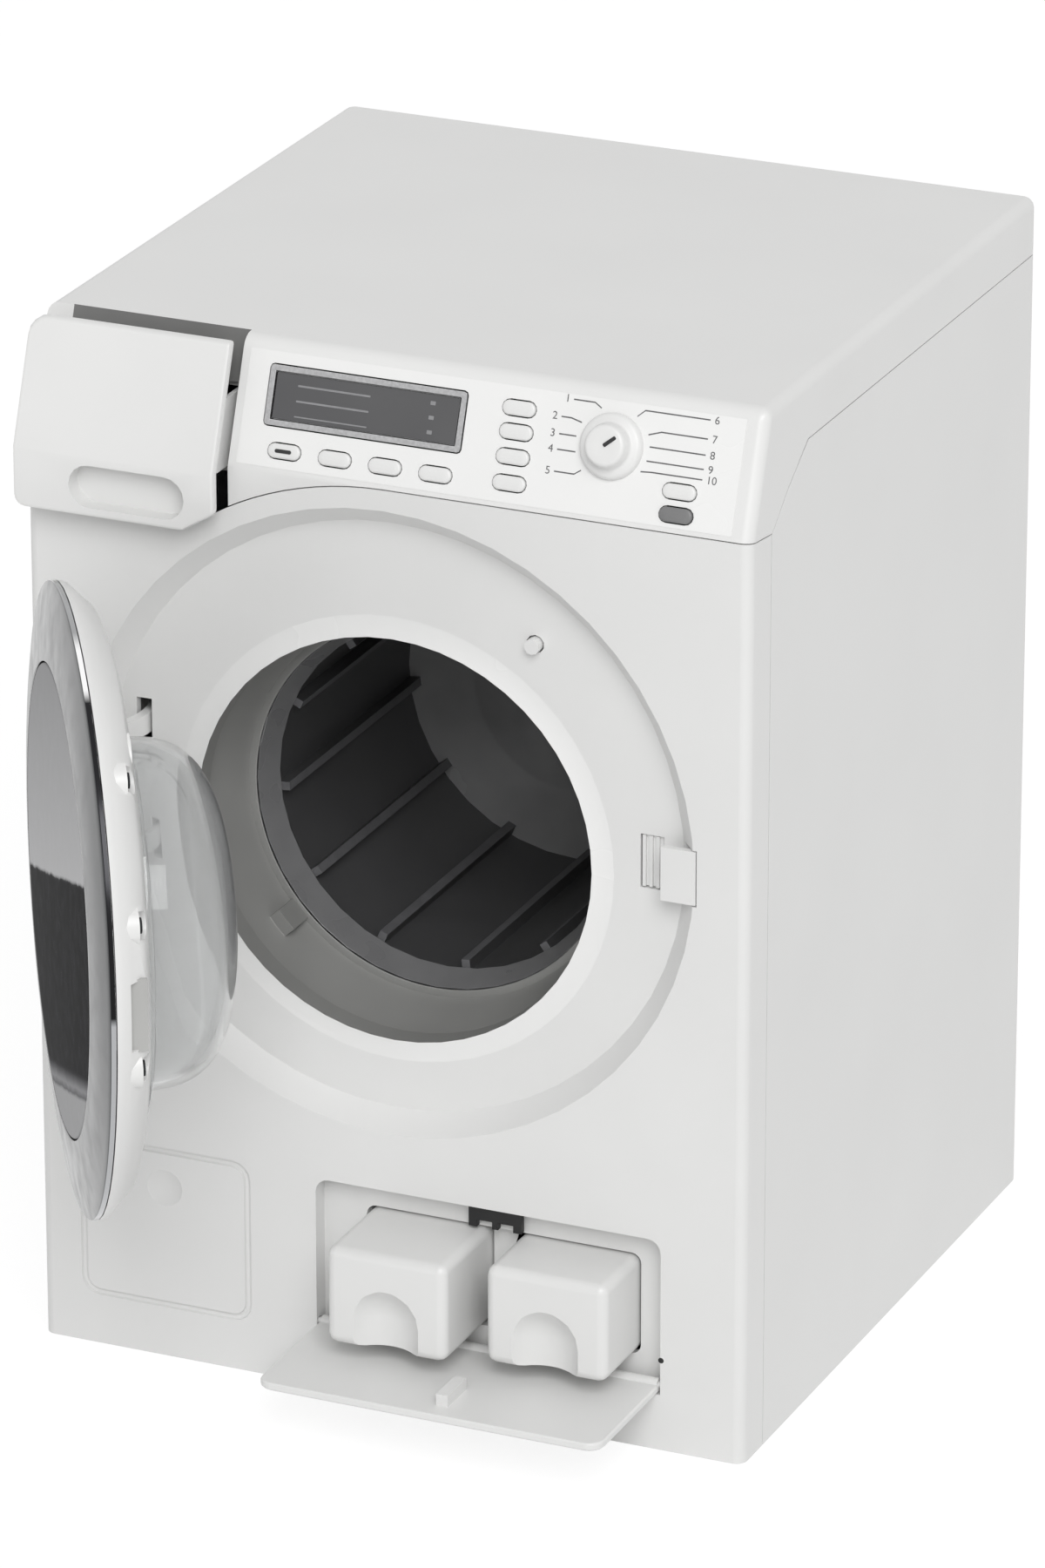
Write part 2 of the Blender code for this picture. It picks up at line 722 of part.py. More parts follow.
def cover_outline(grow):
    """The battery cover with its screw tab, seen from behind."""
    half = CELL_HALF + BATTERY_LEDGE + grow
    low = CELL_LOW - BATTERY_LEDGE - grow
    top = CELL_TOP + BATTERY_LEDGE + grow
    tab = TAB_HALF + grow
    return [(-half, low), (half, low), (half, top), (tab, top), (tab, top + TAB_HEIGHT),
            (-tab, top + TAB_HEIGHT), (-tab, top), (-half, top)]


cut(cabinet, prism("battery_opening", [cover_outline(GAP)], -BACK - OVERRUN, -BACK + WALL + OVERRUN,
                   matrix=front_frame()))
for k in range(VENT_COUNT):
    x = (k - (VENT_COUNT - 1) / 2) * VENT_PITCH
    cut(cabinet, prism(f"vent_{k}", [stadium(VENT_Z, 0.0, VENT_HEIGHT, VENT_WIDTH, 2)],
                       -WALL - OVERRUN, OVERRUN,
                       matrix=front_frame(x, BACK) @ Matrix.Rotation(math.pi / 2, 4, "Z")))

# Front panel with its round recess, collar, lower bay and engraved panel
front_panel = shell_walls("front_panel", [(-SIDE, PANEL_EDGE - GAP), (-SIDE, FRONT), (SIDE, FRONT),
                                          (SIDE, PANEL_EDGE - GAP)], 0.0, PANEL_TOP + WALL,
                          (0, -1, 0), "white")


def dish_r(y):
    return DISH_RADIUS - (y - FRONT) * DISH_SLOPE


def dish_back_r(y):
    return dish_r(y) + WALL * math.hypot(1.0, DISH_SLOPE)


dish = front_frame(z=DISH_Z)
port = front_frame(z=PORT_Z)
embed = FRONT + WALL / 2
floor_mid = DISH_FLOOR + WALL / 2
join(front_panel, turned("dish_backing", [(0, embed), (dish_back_r(embed), embed),
                                          (dish_back_r(DISH_BACK), DISH_BACK), (0, DISH_BACK)],
                         matrix=dish))
cut(front_panel, turned("dish_hollow", [(0, FRONT - OVERRUN), (dish_r(FRONT - OVERRUN), FRONT - OVERRUN),
                                        (DISH_FOOT_RADIUS, DISH_FLOOR), (0, DISH_FLOOR)], matrix=dish))
collar_front = DISH_FLOOR - COLLAR_RISE
collar_slope = (COLLAR_RADIUS - PORT_RADIUS) / COLLAR_RISE
lip_outer = PORT_RADIUS + PORT_LIP_WALL
cut(front_panel, rod("port_hole", PORT_RADIUS + OVERLAP, -DISH_BACK - OVERRUN, -DISH_FLOOR + OVERRUN,
                     matrix=port, segments=LARGE_SEGMENTS))
join(front_panel, turned("port_collar", [(PORT_RADIUS, collar_front),
                                         (COLLAR_RADIUS + OVERLAP * collar_slope, DISH_FLOOR + OVERLAP),
                                         (COLLAR_RADIUS + OVERLAP * collar_slope, floor_mid),
                                         (lip_outer, floor_mid), (lip_outer, PORT_LIP_BACK),
                                         (PORT_RADIUS, PORT_LIP_BACK)], matrix=port, ring=True))
bay_wall = WALL
bay_boss = rounded(FRAME_LEFT - bay_wall, FRAME_RIGHT + bay_wall, FRAME_LOW - bay_wall,
                   FRAME_HIGH + bay_wall, FRAME_RADIUS + bay_wall)
join(front_panel, prism("bay_boss", [bay_boss], -MOUTH_WALL_BACK, -embed, matrix=front_frame()))
cut(front_panel,
    prism("bay_recess", [round_topped(FRAME_LEFT, FRAME_RIGHT, FRAME_LOW, FRAME_HIGH, FRAME_RADIUS)],
          -FRONT - FRAME_DEPTH, -FRONT + OVERRUN, matrix=front_frame()),
    prism("bay_mouth", [rounded(MOUTH_LEFT, MOUTH_RIGHT, MOUTH_LOW, MOUTH_HIGH, MOUTH_RADIUS)],
          -MOUTH_WALL_BACK - OVERRUN, -FRONT + OVERRUN, matrix=front_frame()))
slot_left = HINGE_X + ARM_RADIUS - ARM_THICK / 2 - ARM_SLOT_LEFT
slot_right = HINGE_X + ARM_RADIUS + ARM_THICK / 2 + ARM_SLOT_RIGHT
for sign, label in ((1, "upper"), (-1, "lower")):
    centre = DISH_Z + sign * ARM_SLOT_CENTRE
    cut(front_panel, box(f"hinge_slot_{label}",
                         (slot_left, DISH_FLOOR - OVERRUN / 2, centre - ARM_SLOT_LENGTH / 2),
                         (slot_right, DISH_BACK + OVERRUN / 2, centre + ARM_SLOT_LENGTH / 2)))
catch_low = CATCH_Z - CATCH_HEIGHT / 2
catch_high = CATCH_Z + CATCH_HEIGHT / 2
catch_right = DISH_RADIUS + GAP
catch_leg_back = FRONT + CATCH_LEG_REACH
cut(front_panel,
    box("catch_core", (CATCH_CORE_X - CATCH_CORE_WIDTH / 2, DISH_FLOOR - OVERRUN / 2, catch_low),
        (CATCH_CORE_X + CATCH_CORE_WIDTH / 2, DISH_BACK + OVERRUN / 2, catch_high)),
    box("catch_notch", (DISH_FOOT_RADIUS - WALL, FRONT - OVERRUN, catch_low - GAP),
        (catch_right + GAP, catch_leg_back + GAP, catch_high + GAP)),
    rod("sensor_hole", SENSOR_RADIUS + RUNNING, -DISH_BACK - OVERRUN, -DISH_FLOOR + OVERRUN,
        matrix=front_frame(SENSOR_X, 0, SENSOR_Z), segments=TINY_SEGMENTS),
    rod("clip_hole", CLIP_PEG_RADIUS + GAP, -MOUTH_WALL_BACK - OVERRUN,
        -FRONT - FRAME_DEPTH + OVERRUN,
        matrix=front_frame(CLIP_X, 0, (MOUTH_HIGH + FRAME_HIGH) / 2), segments=TINY_SEGMENTS),
    rod("flap_pivot_hole", FLAP_HOLE_RADIUS, FRAME_LEFT - FLAP_PIN_LENGTH,
        FRAME_RIGHT + FLAP_PIN_LENGTH,
        matrix=move(0, FLAP_Y, FLAP_Z) @ Matrix.Rotation(math.pi / 2, 4, "Y"),
        segments=TINY_SEGMENTS))


def groove():
    """A closed round tube sunk halfway into the front face."""
    curve = bpy.data.curves.new("panel_groove", "CURVE")
    curve.dimensions = "3D"
    curve.bevel_depth = GROOVE_RADIUS
    curve.bevel_resolution = 2
    points = rounded(PANEL_LEFT, PANEL_RIGHT, PANEL_LOW, PANEL_HIGH, PANEL_RADIUS)
    spline = curve.splines.new("POLY")
    spline.points.add(len(points) - 1)
    for point, (x, z) in zip(spline.points, points):
        point.co = (x, FRONT, z, 1.0)
    spline.use_cyclic_u = True
    tube = bpy.data.objects.new("panel_groove_curve", curve)
    scene.collection.objects.link(tube)
    depsgraph = bpy.context.evaluated_depsgraph_get()
    mesh = bpy.data.meshes.new_from_object(tube.evaluated_get(depsgraph))
    bpy.data.objects.remove(tube, do_unlink=True)
    build = bmesh.new()
    build.from_mesh(mesh)
    bmesh.ops.remove_doubles(build, verts=build.verts, dist=0.00001)
    bmesh.ops.recalc_face_normals(build, faces=build.faces)
    build.to_mesh(mesh)
    build.free()
    return piece(mesh, "panel_groove")


def dimple():
    radius = (DIMPLE_RADIUS ** 2 + DIMPLE_DEPTH ** 2) / (2 * DIMPLE_DEPTH)
    build = bmesh.new()
    bmesh.ops.create_uvsphere(build, u_segments=SMALL_SEGMENTS, v_segments=SMALL_SEGMENTS,
                              radius=radius)
    return piece(mesh_from(build, "panel_dimple"), "panel_dimple",
                 matrix=front_frame(DIMPLE_X, FRONT + DIMPLE_DEPTH - radius, DIMPLE_Z))


cut(front_panel, groove(), dimple(),
    prism("above_panel", [seam_outline(GAP / 2, True)], -PANEL_RETURN - OVERRUN, OVERRUN,
          matrix=seam_frame()))

# Top cover: lid and sloping fascia in one moulding
block_low = DRAWER_LOW - OVERRUN
top_cover = prism("top_cover", [[(FRONT, block_low), (BACK, block_low), (BACK, HEIGHT),
                                 (FRONT + FASCIA_SETBACK, HEIGHT), (FRONT, PANEL_TOP)]],
                  -SIDE, SIDE, "white", side_frame())
bevel(top_cover, EDGE_RADIUS, 4, 45.0)


def behind(depth, far, top, low):
    """YZ outline of what lies more than a depth behind the fascia and front."""
    return [(FRONT + depth, low), (far, low), (far, top), (slope_y(top, depth), top),
            (FRONT + depth, knee_z(depth))]


def ahead(depth, top, low):
    """YZ outline of what lies ahead of a plane a depth behind the fascia and front."""
    return [(FRONT - OVERRUN, low), (FRONT + depth, low), (FRONT + depth, knee_z(depth)),
            (slope_y(top, depth), top), (FRONT - OVERRUN, top)]


hollow_low = block_low - OVERRUN
cut(top_cover,
    prism("lid_hollow", [behind(WALL, INNER_BACK, HEIGHT - WALL, hollow_low)],
          BAY_RIGHT + WALL, INNER_SIDE, matrix=side_frame()),
    prism("bay_hollow", [behind(BAY_INSET + WALL, INNER_BACK, HEIGHT - WALL, hollow_low)],
          -INNER_SIDE, BAY_RIGHT + WALL + OVERLAP, matrix=side_frame()),
    prism("drawer_pocket", [ahead(BAY_INSET, HEIGHT + OVERRUN, hollow_low)],
          -SIDE - OVERRUN, BAY_RIGHT, matrix=side_frame()),
    box("bay_opening", (-SIDE + BAY_CHEEK, FRONT - OVERRUN, hollow_low),
        (BAY_RIGHT - OVERLAP, slope_y(HEIGHT, BAY_INSET + WALL) + OVERRUN, HEIGHT - BAY_DROP)))
cheek = cheek_line(0.0)
below_line = [*cheek, (BACK + OVERRUN, hollow_low), (PANEL_EDGE, hollow_low)]
post_top = -WALL / 2
for k, (x, s) in enumerate(BOARD_POSTS):
    join(top_cover, rod(f"board_post_{k}", BOARD_POST_RADIUS, -BOARD_DEPTH + GAP, post_top,
                        matrix=fascia_frame(x, s), segments=TINY_SEGMENTS))
cut(top_cover,
    prism("below_lid", [below_line], -SIDE - OVERRUN, SIDE + OVERRUN, matrix=side_frame()),
    prism("below_fascia", [seam_outline(-GAP / 2, False)], -PANEL_RETURN - OVERRUN, OVERRUN,
          matrix=seam_frame()))
screen_frame = fascia_frame(SCREEN_X, SCREEN_S)
through = (-WALL - OVERRUN / 2, OVERRUN / 2)
cut(top_cover, prism("screen_hole", [rounded(-SCREEN_WIDTH / 2 - GAP, SCREEN_WIDTH / 2 + GAP,
                                             -SCREEN_HEIGHT / 2 - GAP, SCREEN_HEIGHT / 2 + GAP,
                                             SCREEN_RADIUS + GAP, 2)],
                     *through, matrix=screen_frame),
    rod("dial_hole", DIAL_SHAFT_RADIUS + GAP, *through, matrix=fascia_frame(DIAL_X, DIAL_S)))


# Buttons: a pill in its hole, held by a flange behind the fascia
BUTTONS = {}
for group, places in (("program_button", PROGRAM_PLACES), ("option_button", OPTION_PLACES)):
    for k, place in enumerate(places):
        BUTTONS[f"{group}_{k + 1}"] = (place, "white")
BUTTONS["start_button"] = (START_PLACE, "white")
BUTTONS["door_button"] = (DOOR_PLACE, "grey")
for name, ((x, s), look) in BUTTONS.items():
    frame = fascia_frame(x, s)
    flange_front = -WALL - GAP
    flange_back = flange_front - PILL_FLANGE_THICK
    cut(top_cover, prism(name + "_hole", [stadium(0, 0, PILL_WIDTH + 2 * GAP, PILL_HEIGHT + 2 * GAP, 3)],
                         *through, matrix=frame))
    button = prism(name, [stadium(0, 0, PILL_WIDTH, PILL_HEIGHT, 3)],
                   (flange_front + flange_back) / 2, PILL_PROUD, look, frame, PILL_EDGE, 1)
    flange_height = min(PILL_HEIGHT + PILL_FLANGE, PILL_HEIGHT + 2 * GAP + OVERLAP)
    join(button, prism(name + "_flange", [stadium(0, 0, PILL_WIDTH + PILL_FLANGE, flange_height, 3)],
                       flange_back, flange_front, matrix=frame),
         rod(name + "_stem", PILL_STEM_RADIUS, -BOARD_DEPTH + PILL_TRAVEL + GAP,
             (flange_front + flange_back) / 2, matrix=frame, segments=TINY_SEGMENTS))

# Screen in its bezel
bezel_outer = rounded(-SCREEN_WIDTH / 2, SCREEN_WIDTH / 2, -SCREEN_HEIGHT / 2, SCREEN_HEIGHT / 2,
                      SCREEN_RADIUS, 2)
glass_half_x = SCREEN_WIDTH / 2 - SCREEN_BORDER
glass_half_y = SCREEN_HEIGHT / 2 - SCREEN_BORDER
display_bezel = prism("display_bezel", [bezel_outer], -SCREEN_DEPTH, SCREEN_PROUD, "white",
                      screen_frame)
cut(display_bezel, box("bezel_window", (-glass_half_x, -glass_half_y, -SCREEN_DEPTH / 2),
                       (glass_half_x, glass_half_y, OVERRUN), matrix=screen_frame),
    box("bezel_back", (-glass_half_x + SCREEN_BORDER, -glass_half_y + SCREEN_BORDER,
                       -SCREEN_DEPTH - OVERRUN),
        (glass_half_x - SCREEN_BORDER, glass_half_y - SCREEN_BORDER, OVERRUN), matrix=screen_frame))
box("display_window", (-glass_half_x + GAP, -glass_half_y + GAP, -SCREEN_DEPTH / 2 + GAP),
    (glass_half_x - GAP, glass_half_y - GAP, 0.0), "smoke", screen_frame)

# Dial, its switch and the control board
dial_frame = fascia_frame(DIAL_X, DIAL_S)
switch_front = -WALL - GAP
board_front = -BOARD_DEPTH
shaft_end = switch_front - SWITCH_SHAFT_DEPTH
dial_knob = turned("dial_knob", [(0, -DIAL_HEIGHT), (DIAL_CAP_TOP_RADIUS, -DIAL_HEIGHT),
                                 (DIAL_CAP_RADIUS, -GAP - DIAL_SKIRT_HEIGHT),
                                 (DIAL_SKIRT_RADIUS - OVERLAP, -GAP - DIAL_SKIRT_HEIGHT),
                                 (DIAL_SKIRT_RADIUS, -DIAL_SKIRT_HEIGHT),
                                 (DIAL_SKIRT_RADIUS, -GAP), (DIAL_SHAFT_RADIUS, -GAP),
                                 (DIAL_SHAFT_RADIUS, -shaft_end), (0, -shaft_end)],
                   "white", dial_frame, SMALL_SEGMENTS + TINY_SEGMENTS)
cut(dial_knob, box("dial_pointer", (DIAL_CAP_TOP_RADIUS / 2, -DIAL_POINTER_WIDTH / 2,
                                    DIAL_HEIGHT - OVERLAP),
                   (DIAL_CAP_RADIUS + OVERLAP, DIAL_POINTER_WIDTH / 2, DIAL_HEIGHT + OVERRUN),
                   matrix=dial_frame @ Matrix.Rotation(DIAL_POINTER_TURN, 4, "Z")))
dial_switch = box("dial_switch", (-SWITCH_WIDTH / 2, -SWITCH_WIDTH / 2, board_front + GAP),
                  (SWITCH_WIDTH / 2, SWITCH_WIDTH / 2, switch_front), "black", dial_frame)
cut(dial_switch, rod("switch_bore", DIAL_SHAFT_RADIUS + GAP, shaft_end - GAP, OVERRUN,
                     matrix=dial_frame))
box("control_board", (BOARD_LEFT, BOARD_LOW, board_front - BOARD_THICK),
    (BOARD_RIGHT, BOARD_HIGH, board_front), "board", fascia_frame(0.0, 0.0))

# Ring behind the port
ring_cone = (RING_NECK_RADIUS - RING_BACK_RADIUS) / (RING_END - PORT_LIP_BACK - GAP)
ring_neck = PORT_LIP_BACK + GAP
ring_outer = RING_NECK_RADIUS + RING_WALL
tub_ring = turned("tub_ring", [(RING_FLANGE_RADIUS, RING_FRONT),
                               (RING_FLANGE_RADIUS, RING_FRONT + RING_FLANGE_THICK),
                               (ring_outer, RING_FRONT + RING_FLANGE_THICK), (ring_outer, ring_neck),
                               (RING_BACK_RADIUS + RING_WALL, RING_END), (RING_BACK_RADIUS, RING_END),
                               (RING_NECK_RADIUS - OVERLAP, ring_neck), (RING_NECK_RADIUS, ring_neck),
                               (RING_NECK_RADIUS, RING_FRONT)],
                  "grey", port, ring=True)
tab_radius = RING_BACK_RADIUS + ring_cone * RING_TAB_LENGTH
join(tub_ring, box("ring_tab", (RING_BACK_RADIUS - RING_TAB_HEIGHT / 2, -RING_TAB_WIDTH / 2,
                                -RING_END + OVERLAP),
                   (tab_radius + RING_WALL / 2, RING_TAB_WIDTH / 2, -RING_END + RING_TAB_LENGTH),
                   matrix=port @ Matrix.Rotation(RING_TAB_TURN, 4, "Z")))

# Drum with ribs and a stepped hub
drum_inner = DRUM_RADIUS - DRUM_WALL
back_inner = DRUM_BACK - DRUM_WALL
drum = turned("drum", [(0, DRUM_BACK - HUB_NOSE), (HUB_RADIUS - OVERLAP, DRUM_BACK - HUB_NOSE),
                       (HUB_RADIUS, back_inner - HUB_CROWN),
                       (HUB_SKIRT_RADIUS, back_inner - HUB_CROWN + DRUM_WALL),
                       (HUB_SKIRT_RADIUS + DRUM_WALL, back_inner), (drum_inner, back_inner),
                       (drum_inner, DRUM_FRONT + DRUM_LIP_DEPTH + DRUM_WALL),
                       (DRUM_LIP_RADIUS, DRUM_FRONT + DRUM_LIP_DEPTH),
                       (DRUM_RADIUS - OVERLAP, DRUM_FRONT), (DRUM_RADIUS, DRUM_FRONT),
                       (DRUM_RADIUS, DRUM_BACK), (HUB_RADIUS, DRUM_BACK),
                       (HUB_RADIUS, DRUM_BACK + HUB_TAIL), (SHAFT_RADIUS + GAP, DRUM_BACK + HUB_TAIL),
                       (SHAFT_RADIUS + GAP, SHAFT_FRONT - GAP), (0, SHAFT_FRONT - GAP)],
              "charcoal", port, DRUM_SEGMENTS)
ribs = bmesh.new()
rib_front = DRUM_FRONT + DRUM_LIP_DEPTH + RIB_INSET
for k in range(RIB_COUNT):
    made = bmesh.ops.create_cube(ribs, size=1.0)["verts"]
    low = Vector((drum_inner - RIB_HEIGHT, -RIB_WIDTH / 2, -back_inner - DRUM_WALL / 2))
    high = Vector((drum_inner + DRUM_WALL / 2, RIB_WIDTH / 2, -rib_front))
    bmesh.ops.scale(ribs, vec=high - low, verts=made)
    bmesh.ops.translate(ribs, vec=(low + high) / 2, verts=made)
    bmesh.ops.rotate(ribs, cent=(0, 0, 0), verts=made,
                     matrix=Matrix.Rotation(RIB_TURN + math.tau * k / RIB_COUNT, 3, "Z"))
join(drum, piece(mesh_from(ribs, "drum_ribs"), "drum_ribs", matrix=port))
drum_shaft = rod("drum_shaft", SHAFT_RADIUS, -SHAFT_BACK, -SHAFT_FRONT, "steel", port)


def gear_outline(teeth, turn):
    """Trapezoid teeth whose first one is centred at an angle."""
    pitch_radius = GEAR_MODULE * teeth / 2
    pitch = math.tau / teeth
    points = []
    for k in range(teeth):
        middle = turn + k * pitch
        for radius, share in ((pitch_radius - GEAR_DEDENDUM, -ROOT_SHARE),
                              (pitch_radius, -PITCH_SHARE), (pitch_radius + GEAR_ADDENDUM, -TIP_SHARE),
                              (pitch_radius + GEAR_ADDENDUM, TIP_SHARE), (pitch_radius, PITCH_SHARE),
                              (pitch_radius - GEAR_DEDENDUM, ROOT_SHARE)):
            angle = middle + share * pitch / 2
            points.append((radius * math.cos(angle), radius * math.sin(angle)))
    return points


down = -math.pi / 2
drum_gear = prism("drum_gear", [gear_outline(DRUM_TEETH, down + math.pi / DRUM_TEETH),
                                circle(0, 0, SHAFT_RADIUS + GAP)],
                  -GEAR_BACK, -GEAR_FRONT, "white", port)
cut(drum_gear, turned("gear_web", [(GEAR_HUB_RADIUS, GEAR_FRONT - OVERRUN),
                                   (GEAR_WEB_RADIUS, GEAR_FRONT - OVERRUN),
                                   (GEAR_WEB_RADIUS, GEAR_FRONT + GEAR_WEB_DEPTH),
                                   (GEAR_HUB_RADIUS, GEAR_FRONT + GEAR_WEB_DEPTH)],
                      matrix=port, segments=SMALL_SEGMENTS, ring=True))
motor_frame = front_frame(z=MOTOR_Z)
nose_front = MOTOR_FRONT - MOTOR_NOSE_LENGTH
motor_pinion = prism("motor_pinion", [gear_outline(PINION_TEETH, -down)], -GEAR_BACK, -GEAR_FRONT,
                     "white", motor_frame)
join(motor_pinion, rod("pinion_shaft", MOTOR_SHAFT_RADIUS, -nose_front - MOTOR_NOSE_LENGTH,
                       -GEAR_BACK + OVERLAP, matrix=motor_frame, segments=TINY_SEGMENTS))
motor = turned("motor", [(0, MOTOR_FRONT + MOTOR_NOSE_LENGTH),
                         (MOTOR_BORE_RADIUS, MOTOR_FRONT + MOTOR_NOSE_LENGTH),
                         (MOTOR_BORE_RADIUS, nose_front), (MOTOR_NOSE_RADIUS, nose_front),
                         (MOTOR_NOSE_RADIUS, MOTOR_FRONT), (MOTOR_RADIUS, MOTOR_FRONT),
                         (MOTOR_RADIUS, MOTOR_FRONT + MOTOR_LENGTH),
                         (MOTOR_TAIL_RADIUS, MOTOR_FRONT + MOTOR_LENGTH),
                         (MOTOR_TAIL_RADIUS, MOTOR_FRONT + MOTOR_LENGTH + MOTOR_TAIL_LENGTH),
                         (0, MOTOR_FRONT + MOTOR_LENGTH + MOTOR_TAIL_LENGTH)],
               "steel", motor_frame, SMALL_SEGMENTS)

# Bracket on the rear wall that holds the drum's bearing and the motor
bracket_low = MOTOR_Z - BRACKET_BELOW
bracket_high = PORT_Z + BRACKET_ABOVE
bracket_back = INNER_BACK - GAP
bearing_bracket = box("bearing_bracket", (-BRACKET_HALF, BRACKET_FRONT, bracket_low),
                      (BRACKET_HALF, bracket_back, bracket_high), "white")
join(bearing_bracket, box("bracket_foot", (-BRACKET_HALF - BRACKET_FOOT, bracket_back - BRACKET_WALL,
                                           bracket_low - BRACKET_FOOT),
                          (BRACKET_HALF + BRACKET_FOOT, bracket_back, bracket_high + BRACKET_FOOT)))
cut(bearing_bracket, box("bracket_hollow", (-BRACKET_HALF + BRACKET_WALL, BRACKET_FRONT + BRACKET_WALL,
                                            bracket_low + BRACKET_WALL),
                         (BRACKET_HALF - BRACKET_WALL, bracket_back + OVERRUN,
                          bracket_high - BRACKET_WALL)),
    box("bracket_windows", (-BRACKET_HALF - OVERRUN, BRACKET_FRONT + BRACKET_WALL + WINDOW_MARGIN,
                            bracket_low + WINDOW_MARGIN),
        (BRACKET_HALF + OVERRUN, bracket_back - BRACKET_WALL - WINDOW_MARGIN,
         bracket_high - WINDOW_MARGIN)))
join(bearing_bracket, rod("bearing_tube", BEARING_RADIUS, -BRACKET_FRONT - BRACKET_WALL - BEARING_LENGTH,
                          -BRACKET_FRONT - BRACKET_WALL / 2, matrix=port))
cut(bearing_bracket, rod("bearing_bore", SHAFT_RADIUS + GAP,
                         -BRACKET_FRONT - BRACKET_WALL - BEARING_LENGTH - OVERRUN,
                         -BRACKET_FRONT + OVERRUN / 2, matrix=port),
    rod("motor_nose_hole", MOTOR_NOSE_RADIUS + GAP, -MOTOR_FRONT - OVERRUN / 2,
        -BRACKET_FRONT + OVERRUN / 2, matrix=motor_frame))

# Door, modelled closed
shell_profile = [(radius, FRONT - back) for radius, back in zip(SHELL_RADII, SHELL_BACKS)]
ring_back = DOOR_FRONT + DOOR_RING_THICK
shell_front = ring_back + DOOR_SEAM
inner_rim = DOOR_RADIUS - DOOR_WALL
door_frame = front_frame(z=DISH_Z)
glass_front = DOOR_APEX
door_ring = turned("door_ring", [(DOOR_RADIUS, ring_back), (DOOR_RADIUS, DOOR_FRONT),
                                 (DOOR_RING_RADIUS, DOOR_APEX),
                                 (DOOR_RING_RADIUS, DOOR_APEX + DOOR_WINDOW_THICK + GAP),
                                 (DOOR_RING_RADIUS - DOOR_RING_LAND,
                                  DOOR_APEX + DOOR_WINDOW_THICK + GAP),
                                 (DOOR_RING_RADIUS - DOOR_RING_LAND, ring_back + DOOR_RING_THICK / 2),
                                 (DOOR_RING_RADIUS + DOOR_RING_LAND, ring_back + DOOR_RING_THICK / 2),
                                 (inner_rim - DOOR_RING_LAND, ring_back)],
                   "silver", door_frame, ring=True)
glass_radius = DOOR_RING_RADIUS - GAP
glass_back = DOOR_APEX + DOOR_WINDOW_THICK
glass_mid = glass_radius * math.sqrt(0.5)
door_window = turned("door_window", [(0, glass_front - DOOR_WINDOW_CROWN),
                                     (glass_mid, glass_front - DOOR_WINDOW_CROWN / 2),
                                     (glass_radius, glass_front), (glass_radius, glass_back),
                                     (glass_mid, glass_back - DOOR_WINDOW_CROWN / 2),
                                     (0, glass_back - DOOR_WINDOW_CROWN)], "smoke", door_frame)


bowl_hole = BOWL_FLANGE_RADIUS - DOOR_WALL
door_shell = turned("door_shell", [(DOOR_RADIUS, shell_front), *shell_profile,
                                   (DOOR_BACK_RADIUS, DOOR_REAR), (bowl_hole, DOOR_REAR),
                                   (bowl_hole, DOOR_REAR - DOOR_WALL),
                                   (DOOR_BACK_RADIUS - DOOR_WALL / 2, DOOR_REAR - DOOR_WALL),
                                   *[(radius - DOOR_WALL, y - DOOR_WALL / 2)
                                     for radius, y in reversed(shell_profile)],
                                   (inner_rim, shell_front)],
                    "white", door_frame, ring=True)
bowl_frame = front_frame(z=BOWL_Z)
bowl_seat = DOOR_REAR + GAP
bowl_rear = DOOR_REAR + BOWL_FLANGE_RISE
neck = bowl_hole - GAP


def bowl_curve(radius, depth, start):
    """A rounded bowl's meridian from its rim to its apex."""
    points = []
    for step in range(BOWL_STEPS + 1):
        angle = math.pi / 2 * step / BOWL_STEPS
        across = math.cos(angle) ** (2.0 / BOWL_ROUND) if step < BOWL_STEPS else 0.0
        along = math.sin(angle) ** (2.0 / BOWL_ROUND)
        points.append((radius * across, start + depth * along))
    return points


outer_bowl = bowl_curve(BOWL_RADIUS, BOWL_DEPTH, bowl_rear)
inner_bowl = bowl_curve(BOWL_RADIUS - BOWL_WALL, BOWL_DEPTH + BOWL_FLANGE_RISE - BOWL_WALL, DOOR_REAR)
door_bowl = turned("door_bowl", [*reversed(outer_bowl), (BOWL_FLANGE_RADIUS, bowl_rear),
                                 (BOWL_FLANGE_RADIUS, bowl_seat), *inner_bowl],
                   "clear", bowl_frame, DRUM_SEGMENTS)
join(door_bowl, turned("bowl_neck", [(neck, bowl_seat + OVERLAP), (neck, DOOR_REAR - DOOR_WALL),
                                     (neck - BOWL_WALL, DOOR_REAR - DOOR_WALL),
                                     (neck - BOWL_WALL, bowl_seat + OVERLAP)],
                       matrix=bowl_frame, segments=DRUM_SEGMENTS, ring=True))
cut(door_shell, turned("shell_bowl_hole", [(0, DOOR_REAR - DOOR_WALL - OVERRUN),
                                           (bowl_hole + OVERLAP, DOOR_REAR - DOOR_WALL - OVERRUN),
                                           (bowl_hole + OVERLAP, DOOR_REAR + OVERRUN),
                                           (0, DOOR_REAR + OVERRUN)],
                       matrix=bowl_frame, segments=DRUM_SEGMENTS))

